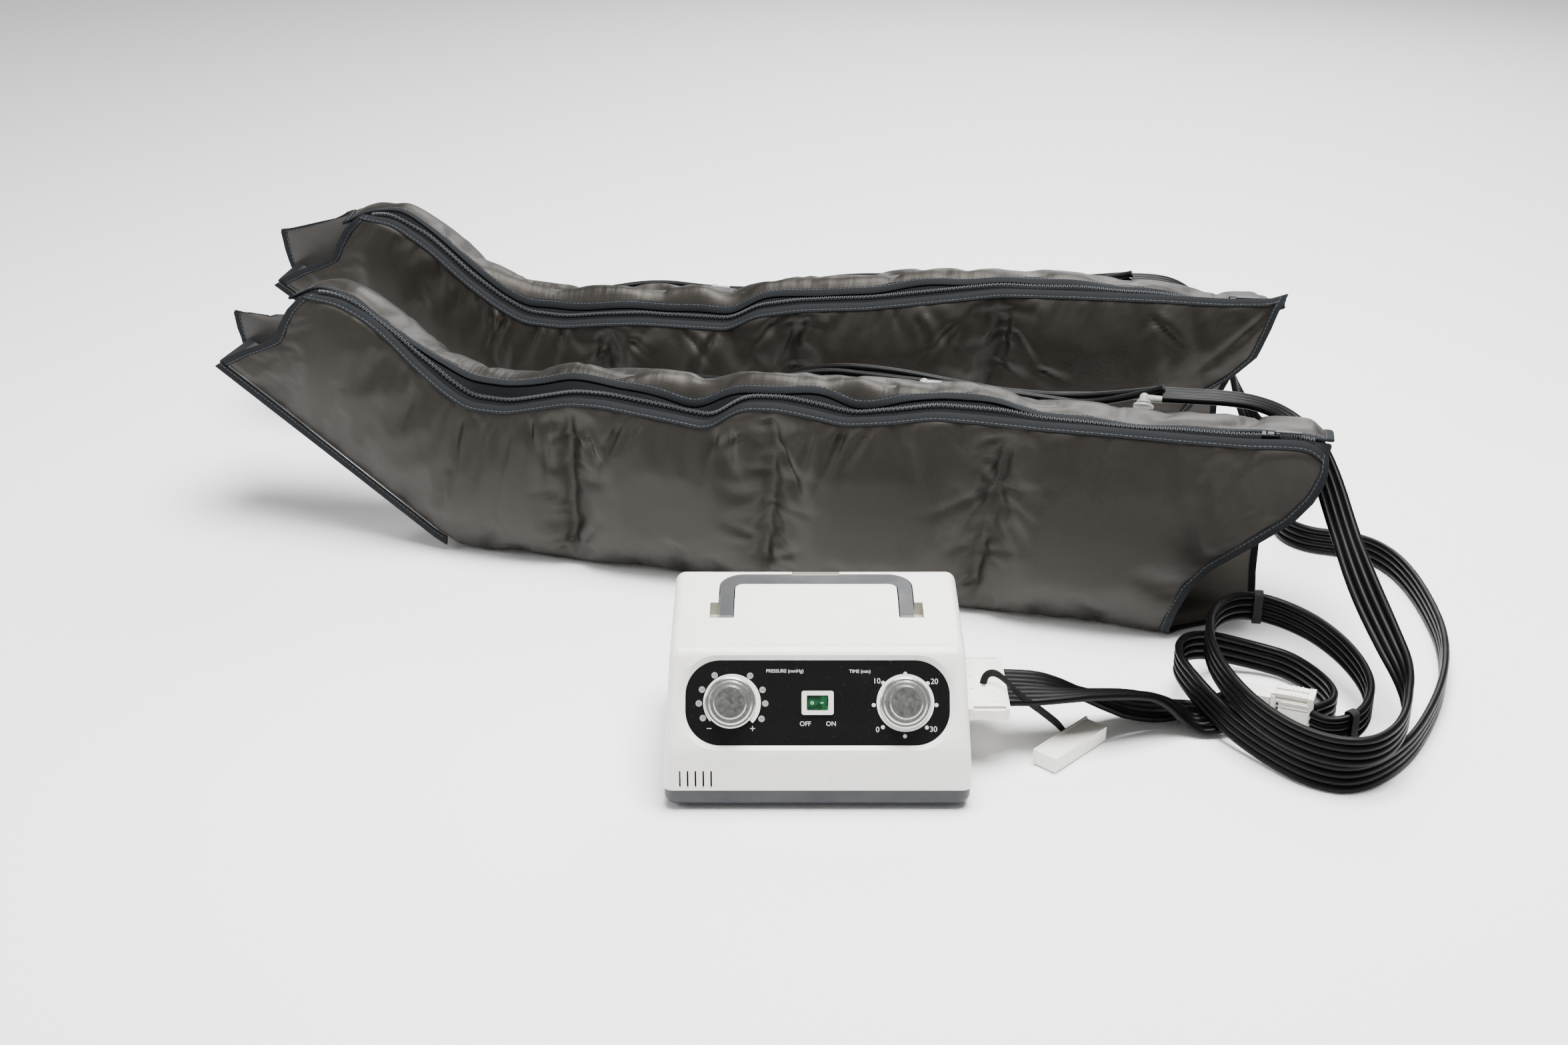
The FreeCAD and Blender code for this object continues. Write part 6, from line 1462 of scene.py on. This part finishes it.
def bound(name, edge, inward, outward, width, material):
    """A folded tape over an edge. edge, inward and outward are rows of places and directions."""
    inward = unit(inward)
    outward = unit(outward - inward * (outward * inward).sum(1, keepdims=True))
    profile = ((width, 1.0), (width * 0.5, 1.7), *TAPE_FOLD, (width * 0.5, -1.7), (width, -1.0))
    places = [[edge[i] + inward[i] * (a * MM) + outward[i] * b * MM
               for a, b in profile] for i in range(len(edge))]
    piece = smooth(weave_grid(name, places, closed=True, caps=True), 50)
    piece.data.materials.clear()
    piece.data.materials.append(material)
    return piece, inward, outward


def stitch_places(edge, inward, outward, width, pitch):
    """Where each stitch of a tape lies, on both of its faces."""
    steps = np.linalg.norm(np.diff(edge, axis=0), axis=1)
    far = np.concatenate([[0], np.cumsum(steps)])
    places = []
    along = directions(edge)
    for number in range(int(far[-1] / pitch)):
        at = (number + 0.5) * pitch
        row = lambda table: np.array([np.interp(at, far, table[:, k]) for k in range(3)])
        spot, inn, out, run = row(edge), unit(row(inward)), unit(row(outward)), unit(row(along))
        for sign in (1, -1):
            places.append(turned(run, np.cross(out * sign, run), out * sign,
                                 spot + inn * (width - STITCH_INSET) * MM + out * sign * STITCH_LIFT * MM))
    return places


def stitch_template(pitch):
    """One stitch: a short thread that lies along the tape."""
    deselect()
    bpy.ops.mesh.primitive_cylinder_add(vertices=6, radius=STITCH_RADIUS * MM, depth=pitch * 0.72,
                                        rotation=(0, math.pi / 2, 0))
    return set_down(bpy.context.object)


def tooth_template():
    """One turn of a zip coil: a bar across the chain, taller than it is wide."""
    deselect()
    bpy.ops.mesh.primitive_cylinder_add(vertices=8, radius=0.85 * MM, depth=5.6 * MM,
                                        rotation=(math.pi / 2, 0, 0))
    piece = set_down(bpy.context.object)
    with editing(piece):
        bpy.ops.transform.resize(value=(1.0, 1.0, 1.5), center_override=(0, 0, 0))
    return piece


class LEGPUMP_OT_sleeves(bpy.types.Operator):
    """Blow up both quilted sleeves, line them, and bind their edges"""
    bl_idname = "legpump.sleeves"
    bl_label = "Leg sleeves"

    def execute(self, context):
        looks = context.scene.legpump_sleeve
        self.nylon = nylon(looks)
        self.tape = tape_cloth(looks)
        self.inside = lining_cloth(looks)
        self.thread = stitch_thread(looks)
        self.dark_tape = zip_weave(looks)
        self.slider_metal = metal("slider_metal", tone(58, 59, 61), 0.38).material
        teeth = []
        for side in SLEEVES:
            teeth += self.sleeve(side, looks)
        chain = moulded("zip_coil", looks.chain, 0.55, 900.0)
        row = scattered("zip_teeth", tooth_template(), teeth)
        finish_piece(smooth(row, 40), chain.material, ROOT, "zip_grey", "zip_chains")
        return {"FINISHED"}

    def sleeve(self, side, looks):
        """Makes one sleeve with all that is sewn to it, and gives back its zip's teeth."""
        places, seams, heights, depths, blend = sleeve_places(side, looks.quad / MM)
        places = wavy_crest(places, blend, heights, side)
        flat = places.copy()
        places = pinch(places, seams, heights, depths)
        shell = weave_grid(side + "_sleeve", in_room(side, places)[:, ::-1])
        column, row = self.grid_numbers(shell, in_room(side, places))
        pins = self.pins(places, seams, heights, depths)
        inflate(shell, pins[column, row], looks)
        self.pulls(shell, places, seams, heights, column, row)
        apply_modifier(shell, "SUBSURF", levels=1, render_levels=1, subdivision_type="CATMULL_CLARK")
        gathered(shell, side, places, seams, heights)
        bpy.ops.object.shade_smooth()
        finish_piece(shell, self.nylon, ROOT, "sleeve_fabric", side + "_foot_sleeve", side + "_thigh_sleeve")
        self.line(side, places)
        self.zip_tape(side, flat)
        self.slider(side, flat)
        self.bind(side, flat, looks)
        return self.zip_places(side, flat)

    def pins(self, places, seams, heights, depths):
        """How firmly each place is held while the cloth swells: 1 at edges, seams, sole and nozzles."""
        held = np.zeros(places.shape[:2])
        held[:2] = held[-2:] = 1.0
        held[:, :2] = held[:, -2:] = 1.0
        for seam in seams:
            held[seam] = 1.0
        sole = (heights < 0.06) & (depths < 30)
        under = int(np.argmin(np.abs(depths - SOLE_DEPTH) + 1000 * (heights > 0.03)))
        heel = int(np.argmin(np.abs(places[:, under, 0] - HEEL_PINNED)))
        held[:heel, sole] = 1.0
        resting = (heights < 0.004) & (depths > 30)
        held[:, resting] = np.maximum(held[:, resting], 0.6)
        for place in NOZZLE_PLACES:
            held[np.linalg.norm(places - nozzle_foot(place), axis=-1) < NOZZLE_PAD] = 1.0
        return held

    def grid_numbers(self, shell, target):
        """Column and row, in the grid target, of every vertex of the piece."""
        def key(place):
            return tuple(np.rint(place * 1e7).astype(int))
        laid = target.reshape(-1, 3).astype(np.float32).astype(float)
        keys = {key(place): number for number, place in enumerate(laid)}
        number = np.array([keys[key(place)] for place in read_points(shell)])
        return number // target.shape[1], number % target.shape[1]

    def pulls(self, shell, places, seams, heights, column, row):
        """Stores how strongly the seams and hems gather the cloth at each point."""
        s = places[..., 0]
        seam_pull = np.zeros(s.shape)
        for seam in seams:
            seam_pull = np.maximum(seam_pull, np.exp(-np.abs(s - s[seam][None]) / 26.0))
        for end in (0, -1):
            seam_pull = np.maximum(seam_pull, np.exp(-np.abs(s - s[end][None]) / 22.0))
        seam_pull[:2] = seam_pull[-2:] = 0
        hem = np.exp(-np.abs(heights - 1.0) * 220 / 24.0)
        hem_pull = np.repeat(hem[None], s.shape[0], axis=0)
        number = np.indices(s.shape)
        rim = np.minimum.reduce([number[0], s.shape[0] - 1 - number[0], number[1],
                                 s.shape[1] - 1 - number[1]]) / 3.0
        # a mask of painted shade along each welded seam, for the fabric's colour
        seam_shade = np.zeros(s.shape)
        for seam in seams:
            seam_shade = np.maximum(seam_shade, np.exp(-(np.abs(s - s[seam][None]) / 4.0) ** 2))
        for name, table in (("seam_pull", seam_pull), ("hem_pull", hem_pull), ("rim", rim), ("seam_shade", seam_shade)):
            layer = shell.data.attributes.new(name, "FLOAT", "POINT")
            layer.data.foreach_set("value", table[column, row].astype(np.float32))

    def line(self, side, places):
        """A smooth lining a wall's thickness inside the shell."""
        du = np.gradient(places, axis=0)
        dv = np.gradient(places, axis=1)
        out = unit(np.cross(dv, du))
        if out[places.shape[0] // 2, places.shape[1] // 5, 1] > 0:
            out = -out
        share = np.minimum(np.arange(places.shape[0]), np.arange(places.shape[0])[::-1])[:, None]
        rim = np.minimum(np.arange(places.shape[1]), np.arange(places.shape[1])[::-1])[None]
        wall = np.clip(np.minimum(share, rim) / 5.0, 0.08, 1.0)[..., None] * LINING_GAP
        inner = in_room(side, places - out * wall)
        inner[..., 2] = np.maximum(inner[..., 2], LINING_FLOOR)
        piece = weave_grid(side + "_lining", inner)
        pick(piece)
        bpy.ops.object.shade_smooth()
        finish_piece(piece, self.inside, ROOT, "sleeve_fabric", side + "_foot_sleeve")

    def zip_tape(self, side, flat):
        """The dark tape between the two bindings, with the coil along its middle."""
        front, crest = flat[:, 0], flat[:, -1]
        middle = self.chain_row(flat)
        rows = np.stack([front + (0, 1.0, -2.0), front * 0.4 + middle * 0.6 + (0, 0, -1.5),
                         middle + (0, -3.4, 0.0), middle + (0, 3.4, 0.0),
                         crest * 0.5 + middle * 0.5 + (0, 0, -1.5), crest + (0, -1.0, -2.5)], axis=1)
        piece = weave_grid(side + "_zip_tape", in_room(side, rows)[:, ::-1])
        apply_modifier(piece, "SUBSURF", levels=1, render_levels=1)
        bpy.ops.object.shade_smooth()
        finish_piece(piece, self.dark_tape, ROOT, "zip_grey")

    def chain_row(self, flat):
        """Where the coil runs, one place for each column of the sleeve."""
        front, crest = flat[:, 0], flat[:, -1]
        share = (ZIP_DEPTH - front[:, 1:2]) / (crest[:, 1:2] - front[:, 1:2])
        middle = front * (1 - share) + crest * share
        middle[:, 0] = front[:, 0] * 0.5 + crest[:, 0] * 0.5
        middle[:, 2] = np.minimum(middle[:, 2] - 1.0, front[:, 2] + 1.0)
        return middle

    def zip_places(self, side, flat):
        """Where each tooth lies; every second one leans the other way."""
        middle = self.chain_row(flat)
        first, last = ZIP_REACH
        kept = middle[(middle[:, 0] > first) & (middle[:, 0] < last)]
        line = resampled(in_room(side, kept + (0, 0, TOOTH_LIFT)), TOOTH_PITCH * MM)
        along = directions(line)
        yaw = math.radians(SLEEVES[side][1])
        across = np.array((-math.sin(yaw), math.cos(yaw), 0.0))
        places = []
        for number, (spot, run) in enumerate(zip(line, along)):
            lean = across + run * 0.12 * (1 if number % 2 else -1)
            up = unit(np.cross(run, lean))
            places.append(turned(unit(run), unit(lean), up, spot + across * 0.35 * MM * (-1) ** number))
        return places

    def slider(self, side, flat):
        """A pressed slider with its bridge and a long pull that lies back along the zip."""
        middle = self.chain_row(flat)
        index = int(np.argmin(np.abs(middle[:, 0] - SLIDER_PLACE)))
        spot, ahead = in_room(side, middle[index]), in_room(side, middle[index + 3])
        run = unit(ahead - spot)
        across = unit(np.cross((0, 0, 1.0), run))
        place = turned(run, across, np.cross(run, across), spot)
        piece = blocks(side + "_slider", place, SLIDER_PARTS)
        finish_piece(piece, self.slider_metal, side + "_zip_slider", "zip_grey", side + "_zip_slider")

    def bind(self, side, flat, looks):
        """Tapes and stitching over the zip edges, both mouths and the sole seam of the foot."""
        width = looks.tape_width / MM
        halfway = flat[flat.shape[0] // 2]
        sole_row = int(np.argmin(np.abs(halfway[:, 1] - SOLE_DEPTH) + 1000 * (halfway[:, 2] > 6)))
        heel = int(np.argmin(np.abs(flat[:, sole_row, 0] - HEEL_BOUND)))
        jobs = [("front_zip", flat[:, 0], flat[:, 1] - flat[:, 0],
                 np.tile((0.0, -1.0, 0.2), (len(flat), 1))),
                ("back_zip", flat[:, -1], flat[:, -3] - flat[:, -1] + (0, 0.0, -2.0),
                 np.tile((0.0, -0.75, 0.65), (len(flat), 1)))]
        for label, column, step in (("toe", 0, 1), ("thigh", -1, -2)):
            edge = flat[column]
            inward = flat[step] - edge
            outward = np.cross(np.gradient(edge, axis=0), inward)
            jobs.append((label, edge, inward, outward))
        edge = flat[:heel, sole_row] * (1, 0, 1) + (0, 11.0, -0.5)
        jobs.append(("sole", edge, (flat[:heel, sole_row - 4] - flat[:heel, sole_row]) * (1, 0, 1),
                     np.tile((0.0, -1.0, 0.0), (heel, 1))))
        pieces, stitches = [], []
        for label, edge, inward, outward in jobs:
            line = in_room(side, edge)
            zero = in_room(side, np.zeros(3))
            inn = in_room(side, inward) - zero
            out = in_room(side, outward) - zero
            line[:, 2] = np.maximum(line[:, 2], TAPE_FLOOR)
            piece, inn, out = bound(side + "_" + label, line, inn, out, width, self.tape)
            pieces.append(piece)
            stitches += stitch_places(line, inn, out, width, looks.stitch)
        binding = join(pieces, side + "_bindings")
        finish_piece(binding, self.tape, ROOT, "zip_grey")
        thread = scattered(side + "_stitches", stitch_template(looks.stitch), stitches)
        finish_piece(smooth(thread, 60), self.thread, ROOT, "zip_grey")


# ---- floor, lights and camera -----------------------------------------------------------
CAMERA_PLACE = (-0.0287, -1.6417, 1.0291)
CAMERA_TILT = 64.0
SENSOR_WIDTH = 36.0
WORLD_STRENGTH = 0.42
FLOOR_SIZE = 14.0
# name, place, aim, size, share of the soft light's power, spread
LIGHTS = (("overhead", (0.25, 0.0, 2.5), (0.1, 0.3, 0.0), 1.5, 1.0, 2.6),
          ("left_window", (-2.4, -0.6, 1.7), (0.0, 0.3, 0.1), 1.1, 0.08, 2.4),
          ("back_fill", (0.8, 2.8, 1.8), (0.2, 0.4, 0.1), 1.8, 0.3, 2.4))


class LEGPUMP_OT_stage(bpy.types.Operator):
    """Set the pale floor, the soft lights and the camera"""
    bl_idname = "legpump.stage"
    bl_label = "Stage"

    def execute(self, context):
        looks = context.scene.legpump_stage
        deselect()
        bpy.ops.mesh.primitive_grid_add(x_subdivisions=8, y_subdivisions=8, size=FLOOR_SIZE,
                                        location=(0, 1.0, -0.0004))
        floor = set_down(named(bpy.context.object, "floor"))
        paper = Wiring("floor_paper", looks.floor, 0.75)
        paper.tint(paper.noise(1.2, 2), lighter(looks.floor, 0.97), 0.4)
        floor.data.materials.append(paper.material)
        world = bpy.data.worlds.new("studio")
        context.scene.world = world
        world.use_nodes = True
        sky = world.node_tree.nodes["Background"].inputs
        sky["Color"].default_value = (*looks.floor, 1.0)
        sky["Strength"].default_value = WORLD_STRENGTH
        for name, spot, aim, size, share, spread in LIGHTS:
            bpy.ops.object.light_add(type="AREA", location=spot)
            light = bpy.context.object
            light.name = name
            light.data.energy = looks.soft_light * share
            light.data.size = size
            light.data.spread = spread
            light.rotation_euler = (Vector(aim) - Vector(spot)).to_track_quat("-Z", "Y").to_euler()
        bpy.ops.object.camera_add(location=CAMERA_PLACE, rotation=(math.radians(CAMERA_TILT), 0, 0))
        camera = named(bpy.context.object, "camera")
        camera.data.lens = looks.lens
        camera.data.sensor_width = SENSOR_WIDTH
        camera.data.sensor_fit = "HORIZONTAL"
        camera.data.clip_start = 0.05
        context.scene.camera = camera
        return {"FINISHED"}


GROUPS = {"legpump_pump": PumpLooks, "legpump_hose": HoseLooks, "legpump_sleeve": SleeveLooks,
          "legpump_stage": StageLooks}
# the operators in their order; the fittings are made before the hoses
STEPS = (("stage", "Stage"), ("housing", "Pump housing"), ("controls", "Control panel"),
         ("inside", "Works inside"), ("fittings", "Plug, couplers and ties"),
         ("hoses", "Ribbon hoses"), ("branches", "Branch hoses"), ("sleeves", "Leg sleeves"))


class LEGPUMP_PT_panel(bpy.types.Panel):
    """The pieces of the pump, in the order in which they are made"""
    bl_idname = "LEGPUMP_PT_panel"
    bl_label = "Leg Pump"
    bl_space_type = "VIEW_3D"
    bl_region_type = "UI"
    bl_category = "Leg Pump"

    def draw(self, context):
        for step, label in STEPS:
            self.layout.operator("legpump." + step, text=label)
        for group in GROUPS:
            box = self.layout.box()
            settings = getattr(context.scene, group)
            for name in settings.__annotations__:
                box.prop(settings, name)


CLASSES = (*GROUPS.values(), LEGPUMP_OT_stage, LEGPUMP_OT_housing, LEGPUMP_OT_controls,
           LEGPUMP_OT_inside, LEGPUMP_OT_fittings, LEGPUMP_OT_hoses, LEGPUMP_OT_branches,
           LEGPUMP_OT_sleeves, LEGPUMP_PT_panel)


def register():
    for made in CLASSES:
        bpy.utils.register_class(made)
    for name, group in GROUPS.items():
        setattr(bpy.types.Scene, name, bpy.props.PointerProperty(type=group))


def unregister():
    for name in GROUPS:
        delattr(bpy.types.Scene, name)
    for made in reversed(CLASSES):
        bpy.utils.unregister_class(made)


def main():
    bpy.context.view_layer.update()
    register()
    for step, _ in STEPS:
        getattr(bpy.ops.legpump, step)()


if __name__ == "__main__":
    main()
